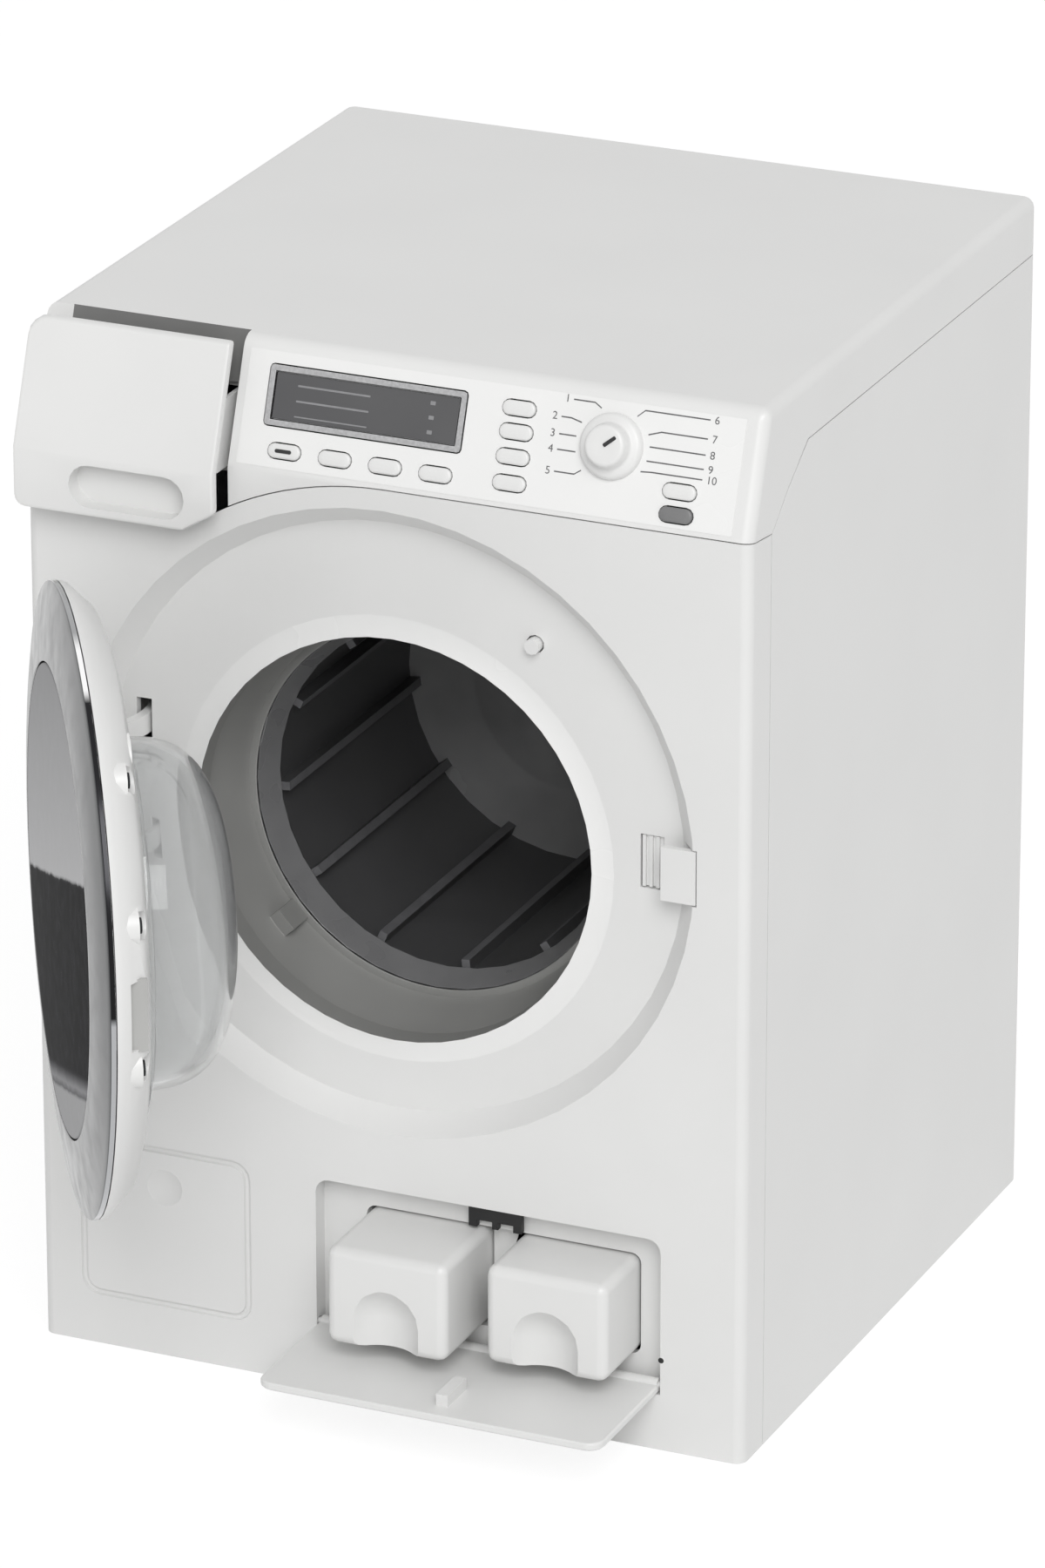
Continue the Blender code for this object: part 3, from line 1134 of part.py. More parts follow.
# Pocket for the sensor pin, slot for the catch and the screws with their notches
pocket_matrix = front_frame(SENSOR_X, 0, SENSOR_Z)
pocket_floor = DOOR_REAR - PIN_POCKET_DEPTH
join(door_shell, rod("pocket_cup", PIN_POCKET_RADIUS + DOOR_WALL, -DOOR_REAR + OVERLAP,
                     -pocket_floor + DOOR_WALL, matrix=pocket_matrix, segments=TINY_SEGMENTS))
cut(door_shell, rod("pocket_hollow", PIN_POCKET_RADIUS, -DOOR_REAR - OVERRUN, -pocket_floor,
                    matrix=pocket_matrix, segments=TINY_SEGMENTS),
    box("latch_slot", (LATCH_SLOT_X, FRONT - LATCH_SLOT_FRONT, DISH_Z - LATCH_SLOT_HALF),
        (DOOR_RADIUS + OVERRUN, FRONT + LATCH_SLOT_BACK, DISH_Z + LATCH_SLOT_HALF)))
for k, turn in enumerate(DOOR_SCREW_TURNS):
    x = DOOR_SCREW_CIRCLE * math.cos(turn)
    z = DISH_Z + DOOR_SCREW_CIRCLE * math.sin(turn)
    seat = FRONT + DOOR_NOTCH_FLOOR
    place = front_frame(x, 0, z)
    boss_front = seat - DOOR_SCREW_LENGTH - DOOR_WALL
    join(door_shell, rod(f"notch_boss_{k}", DOOR_NOTCH_RADIUS + DOOR_WALL / 2, -seat - OVERLAP,
                         -boss_front, matrix=place, segments=TINY_SEGMENTS))
    cut(door_shell, rod(f"notch_{k}", DOOR_NOTCH_RADIUS, -seat - OVERRUN, -seat, matrix=place,
                        segments=TINY_SEGMENTS),
        rod(f"notch_bore_{k}", DOOR_SCREW_RADIUS / 2 + GAP, -seat - OVERLAP,
            -seat + DOOR_SCREW_LENGTH, matrix=place, segments=TINY_SEGMENTS))
    head = rod(f"door_screw_{k + 1}", DOOR_SCREW_RADIUS, -seat - GAP - DOOR_SCREW_RADIUS / 2,
               -seat - GAP, "steel", place, TINY_SEGMENTS)
    join(head, rod(f"door_screw_shank_{k}", DOOR_SCREW_RADIUS / 2, -seat - GAP - OVERLAP,
                   -seat + DOOR_SCREW_LENGTH - GAP, matrix=place, segments=TINY_SEGMENTS))

# Hinge: two bent arms on the shell, a pin and a bracket behind the front panel


def arm_outline():
    """An arc about the hinge from the door's back, then a leg in to the knuckle."""
    outer, inner = ARM_RADIUS + ARM_THICK / 2, ARM_RADIUS - ARM_THICK / 2
    angles = [ARM_START + (ARM_END - ARM_START) * k / ARM_STEPS for k in range(ARM_STEPS + 1)]
    points = [(outer * math.cos(a), outer * math.sin(a)) for a in angles]
    half = ARM_THICK / 2
    along = Vector((math.cos(ARM_END), math.sin(ARM_END)))
    aside = Vector((-along.y, along.x)) * half
    start = KNUCKLE_RADIUS - half
    points.append(tuple(along * outer + aside))
    points.append(tuple(along * start + aside))
    points.append(tuple(along * start - aside))
    points.append(tuple(along * (inner - half) - aside))
    points += [(inner * math.cos(a), inner * math.sin(a)) for a in reversed(angles[:-1])]
    return points


for sign, label in ((1, "upper"), (-1, "lower")):
    centre = DISH_Z + sign * ARM_OFFSET
    low, high = centre - ARM_HEIGHT / 2, centre + ARM_HEIGHT / 2
    arm = prism(f"hinge_arm_{label}", [arm_outline()], low, high, matrix=move(HINGE_X, HINGE_Y))
    join(arm, rod(f"knuckle_{label}", KNUCKLE_RADIUS, low, high, matrix=move(HINGE_X, HINGE_Y),
                  segments=SMALL_SEGMENTS))
    cut(arm, rod(f"knuckle_bore_{label}", HINGE_PIN_RADIUS + GAP, low - OVERRUN, high + OVERRUN,
                 matrix=move(HINGE_X, HINGE_Y), segments=TINY_SEGMENTS))
    join(door_shell, arm)
arm_top = ARM_OFFSET + ARM_HEIGHT / 2
lug_low = arm_top + GAP
pin_half = lug_low + LUG_THICK + HINGE_PIN_OVER
door_hinge_pin = rod("door_hinge_pin", HINGE_PIN_RADIUS, DISH_Z - pin_half, DISH_Z + pin_half,
                     "steel", move(HINGE_X, HINGE_Y), TINY_SEGMENTS)
spine_left = -INNER_SIDE + GAP
bracket_half = lug_low + LUG_THICK
spine_front = INNER_FRONT + GAP
door_hinge_bracket = box("door_hinge_bracket", (spine_left, spine_front, DISH_Z - bracket_half),
                         (spine_left + SPINE_THICK, spine_front + SPINE_DEPTH, DISH_Z + bracket_half),
                         "white")
lug_inner = ARM_OFFSET - ARM_HEIGHT / 2 - GAP
for k, (low, high) in enumerate(((lug_low, lug_low + LUG_THICK), (-lug_low - LUG_THICK, -lug_low),
                                 (lug_inner - LUG_THICK, lug_inner),
                                 (-lug_inner, -lug_inner + LUG_THICK))):
    join(door_hinge_bracket, box(f"hinge_lug_{k}", (spine_left + SPINE_THICK / 2, HINGE_Y - LUG_RADIUS,
                                                    DISH_Z + low),
                                 (HINGE_X + LUG_RADIUS, HINGE_Y + LUG_RADIUS, DISH_Z + high)))
cut(door_hinge_bracket, rod("hinge_bore", HINGE_PIN_RADIUS + GAP, DISH_Z - pin_half - OVERRUN,
                            DISH_Z + pin_half + OVERRUN, matrix=move(HINGE_X, HINGE_Y),
                            segments=TINY_SEGMENTS))

# Catch at the right of the recess and the sensor pin
door_latch = box("door_latch", (CATCH_LEFT, FRONT, catch_low), (catch_right, FRONT + CATCH_THICK,
                                                                catch_high), "white")
leg_left = catch_right - CATCH_LEG
join(door_latch, box("catch_leg", (leg_left, FRONT + CATCH_THICK / 2, catch_low + OVERLAP),
                     (catch_right - GAP, catch_leg_back, catch_high - OVERLAP)),
     box("catch_pad", (leg_left + OVERLAP, INNER_FRONT + GAP + RUNNING, catch_low + WALL),
         (catch_right + CATCH_PAD_REACH, catch_leg_back - OVERLAP, catch_high - WALL)))
sensor_frame = front_frame(SENSOR_X, DISH_FLOOR, SENSOR_Z)
flange_front = -WALL - GAP
door_sensor_pin = rod("door_sensor_pin", SENSOR_RADIUS, flange_front - SENSOR_FLANGE_THICK / 2,
                      SENSOR_PROUD, "white", sensor_frame, TINY_SEGMENTS)
join(door_sensor_pin, rod("sensor_flange", SENSOR_FLANGE_RADIUS, flange_front - SENSOR_FLANGE_THICK,
                          flange_front, matrix=sensor_frame, segments=TINY_SEGMENTS))

# Containers, modelled closed, and the runners that hold them
runner_low = BOX_LOW - RUNNING
runner_top = BOX_LOW + BOX_HEIGHT + RUNNING
box_rights = [left + BOX_WIDTH for left in BOX_LEFTS]
runner_back = BOX_CLOSED + BOX_LENGTH + RUNNING
scoop_half = SCOOP_WIDTH / 2
scoop_radius = (scoop_half ** 2 + SCOOP_DEPTH ** 2) / (2 * SCOOP_DEPTH)
scoop_rise = SCOOP_HEIGHT - scoop_half
scoop_dome = [(0, scoop_rise + OVERRUN), (scoop_radius, scoop_rise + OVERRUN)]
scoop_dome += [(scoop_radius * math.cos(math.pi / 2 * s / BOWL_STEPS),
                -scoop_radius * math.sin(math.pi / 2 * s / BOWL_STEPS)) for s in range(BOWL_STEPS)]
scoop_dome.append((0, -scoop_radius))
bay_housing = box("bay_housing", (BOX_LEFTS[0] - RUNNING - RUNNER_WALL, RUNNER_FRONT,
                                  runner_low - RUNNER_WALL),
                  (box_rights[1] + RUNNING + RUNNER_WALL, runner_back + RUNNER_WALL,
                   runner_top + RUNNER_WALL), "grey")
for k, label in enumerate(("left", "right")):
    left, right = BOX_LEFTS[k], box_rights[k]
    cut(bay_housing, box(f"runner_{label}", (left - RUNNING, RUNNER_FRONT - OVERRUN, runner_low),
                         (right + RUNNING, runner_back, runner_top)))
    back = BOX_CLOSED + BOX_LENGTH
    top = BOX_LOW + BOX_HEIGHT
    middle = (left + right) / 2
    container = box(f"container_{label}", (left, BOX_CLOSED, BOX_LOW), (right, back, top), "white")
    bevel(container, BOX_EDGE, 3)
    cut(container, box(f"container_hollow_{label}", (left + BOX_WALL, BOX_CLOSED + SCOOP_DEPTH + BOX_WALL,
                                                     BOX_LOW + BOX_WALL),
                       (right - BOX_WALL, back + OVERRUN, top - BOX_WALL)),
        turned(f"scoop_{label}", scoop_dome,
               matrix=move(middle, BOX_CLOSED + SCOOP_DEPTH - scoop_radius, BOX_LOW + scoop_rise),
               segments=LARGE_SEGMENTS))
    carry(f"container_{label}_slide", (middle, BOX_CLOSED, (BOX_LOW + top) / 2), [container],
          (0.0, -BOX_CLOSED + FRONT - BOX_PULLS[k], 0.0))

# Flap, modelled open as it rests
flap_left = FRAME_LEFT + FLAP_SIDE_GAP
flap_right = FRAME_RIGHT - FLAP_SIDE_GAP
flap_bottom = FLAP_Z - FLAP_BARREL_RADIUS
flap_plate = [(flap_left, FLAP_Y), (flap_left, FLAP_Y - FLAP_LENGTH + FLAP_RADIUS)]
for corner, start in ((flap_left + FLAP_RADIUS, 180.0), (flap_right - FLAP_RADIUS, 270.0)):
    for step in range(CORNER_STEPS + 1):
        angle = math.radians(start + 90.0 * step / CORNER_STEPS)
        flap_plate.append((corner + FLAP_RADIUS * math.cos(angle),
                           FLAP_Y - FLAP_LENGTH + FLAP_RADIUS + FLAP_RADIUS * math.sin(angle)))
flap_plate.append((flap_right, FLAP_Y))
flap = prism("flap", [flap_plate], flap_bottom, flap_bottom + FLAP_THICK, "white",
             edge=FLAP_THICK / 5, steps=1)
across = move(0, FLAP_Y, FLAP_Z) @ Matrix.Rotation(math.pi / 2, 4, "Y")
join(flap, rod("flap_barrel", FLAP_BARREL_RADIUS, flap_left + OVERLAP, flap_right - OVERLAP,
               matrix=across, segments=TINY_SEGMENTS),
     rod("flap_pins", FLAP_PIN_RADIUS, flap_left - FLAP_PIN_LENGTH, flap_right + FLAP_PIN_LENGTH,
         matrix=across, segments=TINY_SEGMENTS),
     box("flap_hook", (HOOK_X - HOOK_WIDTH / 2, FLAP_Y - HOOK_START - HOOK_LENGTH,
                       flap_bottom + FLAP_THICK / 2),
         (HOOK_X + HOOK_WIDTH / 2, FLAP_Y - HOOK_START, flap_bottom + FLAP_THICK + HOOK_HEIGHT)))
carry("flap_hinge", (0.0, FLAP_Y, FLAP_Z), [flap])

# Clip that catches the flap's hook
clip_back = FRONT + FRAME_DEPTH - GAP
clip_low = MOUTH_HIGH + GAP
clip_high = clip_low + CLIP_HEIGHT
clip_frame = front_frame(CLIP_X)
flap_clip = box("flap_clip", (-CLIP_WIDTH / 2, clip_high - CLIP_BAR, -clip_back),
                (CLIP_WIDTH / 2, clip_high, -clip_back + CLIP_THICK), "black", clip_frame)
join(flap_clip, box("clip_leg_left", (-CLIP_WIDTH / 2, clip_low, -clip_back),
                    (-CLIP_WIDTH / 2 + CLIP_LEG, clip_high - CLIP_BAR / 2, -clip_back + CLIP_THICK),
                    matrix=clip_frame),
     box("clip_leg_right", (CLIP_WIDTH / 2 - CLIP_LEG, clip_low, -clip_back),
         (CLIP_WIDTH / 2, clip_high - CLIP_BAR / 2, -clip_back + CLIP_THICK), matrix=clip_frame),
     box("clip_prong", (-CLIP_PRONG / 2, clip_low, -clip_back),
         (CLIP_PRONG / 2, clip_high - CLIP_BAR / 2, -clip_back + CLIP_THICK), matrix=clip_frame),
     rod("clip_peg", CLIP_PEG_RADIUS, -clip_back - CLIP_PEG_LENGTH, -clip_back + CLIP_THICK / 2,
         matrix=front_frame(CLIP_X, 0, (MOUTH_HIGH + FRAME_HIGH) / 2), segments=TINY_SEGMENTS))

# Drawer front, modelled closed: a bent plate trimmed to the seam
drawer_left = -SIDE + GAP
drawer_top = HEIGHT
bent = [(FRONT, DRAWER_LOW + GAP), (FRONT + DRAWER_THICK, DRAWER_LOW + GAP),
        (FRONT + DRAWER_THICK, knee_z(DRAWER_THICK)), (slope_y(drawer_top, DRAWER_THICK), drawer_top),
        (slope_y(drawer_top, 0.0), drawer_top), (FRONT, PANEL_TOP)]
drawer_front = prism("drawer_front", [bent], drawer_left, DRAWER_RIGHT, "white", side_frame())
cut(drawer_front, turned("drawer_arc", [(0, FRONT - OVERRUN), (ARC_RADIUS + GAP, FRONT - OVERRUN),
                                        (ARC_RADIUS + GAP, FRONT + DRAWER_THICK + OVERRUN),
                                        (0, FRONT + DRAWER_THICK + OVERRUN)], matrix=dish))
for label, radius, corner_z, up in (("top", DRAWER_CORNER_TOP, drawer_top, 1),
                                    ("low", DRAWER_CORNER_LOW, DRAWER_LOW + GAP, -1)):
    beyond = corner_z + up * OVERRUN
    corner = [(drawer_left - OVERRUN, beyond), (drawer_left - OVERRUN, corner_z - up * radius)]
    corner += [(drawer_left + radius - radius * math.cos(math.pi / 2 * s / CORNER_STEPS),
                corner_z - up * (radius - radius * math.sin(math.pi / 2 * s / CORNER_STEPS)))
               for s in range(CORNER_STEPS + 1)]
    corner.append((drawer_left + radius, beyond))
    cut(drawer_front, prism(f"drawer_corner_{label}", [corner], -slope_y(drawer_top, 0.0) - DRAWER_EDGE
                            - DRAWER_THICK - OVERRUN, -FRONT + OVERRUN, matrix=front_frame()))
bevel(drawer_front, DRAWER_EDGE, 2, 40.0)
grip_z = HEIGHT - GRIP_DROP
grip_back = FRONT + GRIP_DEPTH
grip_frame = front_frame()
join(drawer_front, prism("grip_cup", [stadium(GRIP_X, grip_z, GRIP_WIDTH + 2 * GRIP_WALL,
                                              GRIP_HEIGHT + 2 * GRIP_WALL)],
                         -grip_back - GRIP_WALL, -FRONT - DRAWER_THICK / 2, matrix=grip_frame))
cut(drawer_front, prism("grip_hollow", [stadium(GRIP_X, grip_z, GRIP_WIDTH, GRIP_HEIGHT)],
                        -grip_back, -FRONT + OVERRUN, matrix=grip_frame))
tray_low = HEIGHT - TRAY_LOW
tray_high = HEIGHT - TRAY_HIGH
tray_front = grip_back + GRIP_WALL + GAP
tray_back = FRONT + DRAWER_THICK + TRAY_LENGTH
drawer_tray = box("drawer_tray", (TRAY_LEFT, tray_front, tray_low), (TRAY_RIGHT, tray_back, tray_high),
                  "white")
tray_hollow_front = slope_y(tray_high, DRAWER_THICK + GAP) + TRAY_WALL
cut(drawer_tray, prism("tray_trim", [ahead(DRAWER_THICK + GAP, tray_high + OVERRUN, tray_low - OVERRUN)],
                       TRAY_LEFT - OVERRUN, TRAY_RIGHT + OVERRUN, matrix=side_frame()),
    box("tray_hollow_left", (TRAY_LEFT + TRAY_WALL, tray_hollow_front, tray_low + TRAY_WALL),
        (TRAY_DIVIDER - TRAY_WALL / 2, tray_back - TRAY_WALL, tray_high + OVERRUN)),
    box("tray_hollow_right", (TRAY_DIVIDER + TRAY_WALL / 2, tray_hollow_front, tray_low + TRAY_WALL),
        (TRAY_RIGHT - TRAY_WALL, tray_back - TRAY_WALL, tray_high + OVERRUN)))
carry("drawer_slide", (GRIP_X, FRONT, grip_z), [drawer_front, drawer_tray], (0.0, -DRAWER_PULL, 0.0))

# Drawer housing seated behind the bay plate
seat_depth = BAY_INSET + WALL + GAP
flange_depth = seat_depth + HOUSING_WALL
house_low = tray_low - RUNNING - HOUSING_WALL
house_top = tray_high + RUNNING + HOUSING_WALL
house_back = tray_back + RUNNING + HOUSING_WALL
drawer_housing = box("drawer_housing", (TRAY_LEFT - RUNNING - HOUSING_WALL, FRONT, house_low),
                     (TRAY_RIGHT + RUNNING + HOUSING_WALL, house_back, house_top), "grey")
flange_top = HEIGHT - WALL - GAP
flange_y = slope_y(flange_top, seat_depth)
join(drawer_housing, box("housing_flange", (-SIDE + BAY_CHEEK - HOUSING_REACH, FRONT, house_low + OVERLAP),
                         (BAY_RIGHT + WALL, flange_y + HOUSING_WALL, flange_top)))
cut(drawer_housing, box("housing_hollow", (TRAY_LEFT - RUNNING, FRONT - OVERRUN, tray_low - RUNNING),
                        (TRAY_RIGHT + RUNNING, tray_back + RUNNING, tray_high + RUNNING)),
    prism("housing_trim", [ahead(seat_depth, HEIGHT + OVERRUN, house_low - OVERRUN)],
          -SIDE, BAY_RIGHT + WALL + OVERRUN, matrix=side_frame()),
    prism("housing_back_trim", [[(slope_y(house_top, flange_depth), house_top),
                                 (flange_y + OVERRUN, house_top), (flange_y + OVERRUN, HEIGHT),
                                 (slope_y(HEIGHT, flange_depth), HEIGHT)]],
          -SIDE, BAY_RIGHT + WALL + OVERRUN, matrix=side_frame()))

# Battery box, cover, screw and contacts
battery_half = CELL_HALF + BATTERY_WALL + BATTERY_LEDGE
battery_box = box("battery_box", (-battery_half, BATTERY_FRONT, BATTERY_LOW),
                  (battery_half, BATTERY_BACK, BATTERY_TOP), "black")
cover_top = CELL_TOP + BATTERY_LEDGE + TAB_HEIGHT
tab_z = CELL_TOP + BATTERY_LEDGE + TAB_HEIGHT / 2
join(battery_box, box("battery_tab", (-TAB_HALF - BATTERY_WALL, BATTERY_BACK - TAB_DEPTH,
                                      BATTERY_TOP - OVERLAP),
                      (TAB_HALF + BATTERY_WALL, BATTERY_BACK, cover_top + BATTERY_WALL)))
cut(battery_box, box("cell_space", (-CELL_HALF, BATTERY_FRONT + BATTERY_WALL, CELL_LOW),
                     (CELL_HALF, BATTERY_BACK + OVERRUN, CELL_TOP)))
cell_mid = (CELL_LOW + CELL_TOP) / 2
join(battery_box, box("cell_divider", (-CELL_HALF + OVERRUN, BATTERY_FRONT + BATTERY_WALL / 2,
                                       cell_mid - DIVIDER_THICK / 2),
                      (CELL_HALF - OVERRUN, BATTERY_FRONT + BATTERY_WALL + DIVIDER_DEPTH,
                       cell_mid + DIVIDER_THICK / 2)))
cut(battery_box, rod("cover_screw_bore", SCREW_RADIUS + GAP, -BATTERY_BACK - OVERRUN,
                     -BATTERY_BACK + TAB_DEPTH - BATTERY_WALL, matrix=front_frame(z=tab_z),
                     segments=TINY_SEGMENTS))
battery_cover = prism("battery_cover", [cover_outline(0.0)], -BACK, -BATTERY_BACK - GAP, "white",
                      front_frame())
cut(battery_cover, rod("cover_screw_hole", SCREW_RADIUS + GAP, -BACK - OVERRUN, -BATTERY_BACK + OVERRUN,
                       matrix=front_frame(z=tab_z), segments=TINY_SEGMENTS),
    rod("cover_head_hole", SCREW_HEAD_RADIUS + GAP, -BACK - OVERRUN,
        -BACK + SCREW_HEAD_HEIGHT + SCREW_SINK + GAP, matrix=front_frame(z=tab_z),
        segments=TINY_SEGMENTS))


def screw(name, matrix, length):
    """A screw along local Z: its head's face is at SCREW_SINK."""
    head_top = SCREW_SINK + SCREW_HEAD_HEIGHT
    made = rod(name, SCREW_HEAD_RADIUS, SCREW_SINK, head_top, "steel", matrix, TINY_SEGMENTS)
    join(made, rod(name + "_shank", SCREW_RADIUS, head_top - OVERLAP, length, matrix=matrix,
                   segments=TINY_SEGMENTS))
    cut(made, box(name + "_slot", (-SCREW_HEAD_RADIUS / 2, -SCREW_RADIUS / 4, -OVERRUN),
                  (SCREW_HEAD_RADIUS / 2, SCREW_RADIUS / 4, SCREW_SINK + SCREW_HEAD_HEIGHT / 3),
                  matrix=matrix))
    return made


screw("battery_cover_screw", move(0, BACK, tab_z) @ Matrix.Rotation(math.pi / 2, 4, "X"), TAB_DEPTH - GAP)
contact_y = BATTERY_FRONT + BATTERY_WALL + GAP
for sign, label in ((-1, "left"), (1, "right")):
    outer = sign * (CELL_HALF - GAP)
    inner = outer - sign * CONTACT_THICK
    strip = box(f"battery_contact_{label}", (min(outer, inner), contact_y, cell_mid - CONTACT_HEIGHT / 2),
                (max(outer, inner), contact_y + CONTACT_DEPTH, cell_mid + CONTACT_HEIGHT / 2), "steel")
    for k in (-1, 1):
        bow = move(inner + sign * CONTACT_THICK / 2, contact_y + CONTACT_DEPTH / 2,
                   cell_mid + k * CELL_HEIGHT / 4)
        join(strip, rod(f"contact_bow_{label}_{k + 1}", CONTACT_BOW_RADIUS, 0.0, CONTACT_BOW_RADIUS,
                        matrix=bow @ Matrix.Rotation(-sign * math.pi / 2, 4, "Y"),
                        segments=TINY_SEGMENTS, top=CONTACT_BOW_RADIUS / 2))

# Base plate between the walls, on four screws
base_side = INNER_SIDE - GAP
base_plate = box("base_plate", (-base_side, INNER_FRONT + GAP, 0.0), (base_side, INNER_BACK - GAP,
                                                                       BASE_THICK), "white")
for k, (x, y) in enumerate([(sx * SCREW_X, y) for sx in (-1, 1) for y in SCREW_Y]):
    cut(base_plate, rod(f"base_hole_{k}", SCREW_RADIUS + GAP, -OVERRUN, BASE_THICK + OVERRUN,
                        matrix=move(x, y), segments=TINY_SEGMENTS),
        rod(f"base_head_hole_{k}", SCREW_HEAD_RADIUS + GAP, -OVERRUN,
            SCREW_SINK + SCREW_HEAD_HEIGHT + GAP, matrix=move(x, y), segments=TINY_SEGMENTS))
    screw(f"base_screw_{k + 1}", move(x, y), SCREW_LENGTH)

# Moving groups on their axes
carry("drum_axis", (0.0, DRUM_BACK, PORT_Z), [drum, drum_shaft, drum_gear])
carry("pinion_axis", (0.0, GEAR_FRONT, MOTOR_Z), [motor_pinion])
door_pieces = [door_ring, door_window, door_shell, door_bowl]
door_pieces += [bpy.data.objects[f"door_screw_{k + 1}"] for k in range(len(DOOR_SCREW_TURNS))]
carry("door_hinge", (HINGE_X, HINGE_Y, DISH_Z), door_pieces, turn=-DOOR_OPEN)
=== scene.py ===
import math

import bmesh
import bpy
from mathutils import Matrix, Vector


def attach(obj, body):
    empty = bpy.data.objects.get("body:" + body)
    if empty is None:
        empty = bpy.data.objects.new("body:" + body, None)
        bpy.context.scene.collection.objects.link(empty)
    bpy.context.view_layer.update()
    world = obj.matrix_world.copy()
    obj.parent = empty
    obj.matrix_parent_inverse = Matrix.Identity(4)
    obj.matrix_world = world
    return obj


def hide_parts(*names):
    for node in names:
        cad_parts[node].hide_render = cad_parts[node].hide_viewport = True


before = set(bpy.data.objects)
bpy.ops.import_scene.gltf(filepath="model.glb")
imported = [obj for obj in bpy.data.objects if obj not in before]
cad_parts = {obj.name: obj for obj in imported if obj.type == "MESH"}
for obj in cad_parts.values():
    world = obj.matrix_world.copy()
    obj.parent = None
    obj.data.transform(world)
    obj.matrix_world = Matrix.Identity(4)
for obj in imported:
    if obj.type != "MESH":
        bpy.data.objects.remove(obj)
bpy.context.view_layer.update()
mm = 0.001
print("washer: frame loaded,", len(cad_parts), "CAD nodes")

# Camera, as the photograph was taken: a long lens from the right and above
shot = {"lens": 209.87, "azimuth": 23.79, "elevation": 21.85, "roll": -0.04,
        "target": (-0.0046, 0.0, 0.1252), "distance": 2.2356}


def linearColour(hexText, alpha=1.0):
    channels = [int(hexText[k:k + 2], 16) / 255 for k in (1, 3, 5)]
    return tuple(c / 12.92 if c <= 0.04045 else ((c + 0.055) / 1.055) ** 2.4 for c in channels) + (alpha,)


def addNode(tree, kind, settings=None, links=None):
    node = tree.nodes.new(kind)
    for key, value in (settings or {}).items():
        if isinstance(key, int) or key in node.inputs:
            node.inputs[key].default_value = value
        else:
            setattr(node, key, value)
    for key, socket in (links or {}).items():
        tree.links.new(socket, node.inputs[key])
    return node


def newMaterial(name):
    material = bpy.data.materials.new(name)
    material.use_nodes = True
    material.node_tree.nodes.clear()
    return material, material.node_tree


def clearSelection():
    if bpy.context.object and bpy.context.object.mode != "OBJECT":
        bpy.ops.object.mode_set(mode="OBJECT")
    bpy.ops.object.select_all(action="DESELECT")


def workOn(piece):
    clearSelection()
    bpy.context.view_layer.objects.active = piece
    piece.select_set(True)


def startEdit(piece, mode="VERT"):
    workOn(piece)
    bpy.ops.object.mode_set(mode="EDIT")
    bpy.ops.mesh.select_mode(type=mode)
    bpy.ops.mesh.select_all(action="DESELECT")


def pick(piece, kind, test):  # kind is verts, edges or faces, and test is asked about each
    mesh = bmesh.from_edit_mesh(piece.data)
    for element in getattr(mesh, kind):
        if test(element):
            element.select_set(True)
    mesh.select_flush_mode()
    bmesh.update_edit_mesh(piece.data)


def freshPrimitive(name, add, **sizes):
    clearSelection()
    add(**sizes)
    piece = bpy.context.object
    piece.name = name
    piece.data.name = name
    return piece


def putMesh(piece, turn=(0.0, 0.0, 0.0), place=(0.0, 0.0, 0.0)):  # the place ends up in the mesh
    workOn(piece)
    piece.rotation_euler = turn
    piece.location = place
    bpy.ops.object.transform_apply(location=True, rotation=True, scale=True)


def roundEdges(piece, width, segments=2, angle=38.0):
    workOn(piece)
    if width:
        soft = piece.modifiers.new("soft edges", "BEVEL")
        soft.width = width * mm
        soft.segments = segments
        soft.limit_method = "ANGLE"
        soft.angle_limit = math.radians(angle)
        soft.use_clamp_overlap = True
        soft.miter_outer = "MITER_ARC"
        bpy.ops.object.modifier_apply(modifier=soft.name)
    bpy.ops.object.shade_smooth_by_angle(angle=math.radians(angle))
    flat = piece.modifiers.new("even flats", "WEIGHTED_NORMAL")
    flat.keep_sharp = True
    flat.weight = 90
    bpy.ops.object.modifier_apply(modifier=flat.name)


def fromNode(nodeName, pieceName):  # a copy of a CAD solid, its loose triangles joined up again
    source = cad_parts[nodeName]
    piece = source.copy()
    piece.data = source.data.copy()
    piece.name = pieceName
    piece.data.name = pieceName
    piece.parent = None
    piece.matrix_world = Matrix.Identity(4)
    piece.data.materials.clear()
    bpy.context.scene.collection.objects.link(piece)
    startEdit(piece)
    bpy.ops.mesh.customdata_custom_splitnormals_clear()
    bpy.ops.mesh.select_all(action="SELECT")
    bpy.ops.mesh.remove_doubles(threshold=0.000002)
    bpy.ops.mesh.dissolve_limited(angle_limit=math.radians(0.4), use_dissolve_boundaries=False)
    clearSelection()
    return piece


def turnPiece(name, profile, steps=144):  # profile is (radius, height) in mm, spun about Z
    piece = freshPrimitive(name, bpy.ops.mesh.primitive_plane_add, size=mm)
    startEdit(piece)
    bpy.ops.mesh.select_all(action="SELECT")
    bpy.ops.mesh.merge(type="CENTER")
    bpy.ops.mesh.select_all(action="SELECT")
    bpy.ops.transform.translate(value=(profile[0][0] * mm, 0, profile[0][1] * mm))
    for (r0, h0), (r1, h1) in zip(profile, profile[1:]):
        bpy.ops.mesh.extrude_region_move(
            TRANSFORM_OT_translate={"value": ((r1 - r0) * mm, 0, (h1 - h0) * mm)})
    bpy.ops.mesh.select_all(action="SELECT")
    bpy.ops.mesh.spin(steps=steps, angle=math.tau, center=(0, 0, 0), axis=(0, 0, 1))
    bpy.ops.mesh.select_all(action="SELECT")
    bpy.ops.mesh.remove_doubles(threshold=0.000004)
    bpy.ops.mesh.normals_make_consistent(inside=False)
    clearSelection()
    return piece


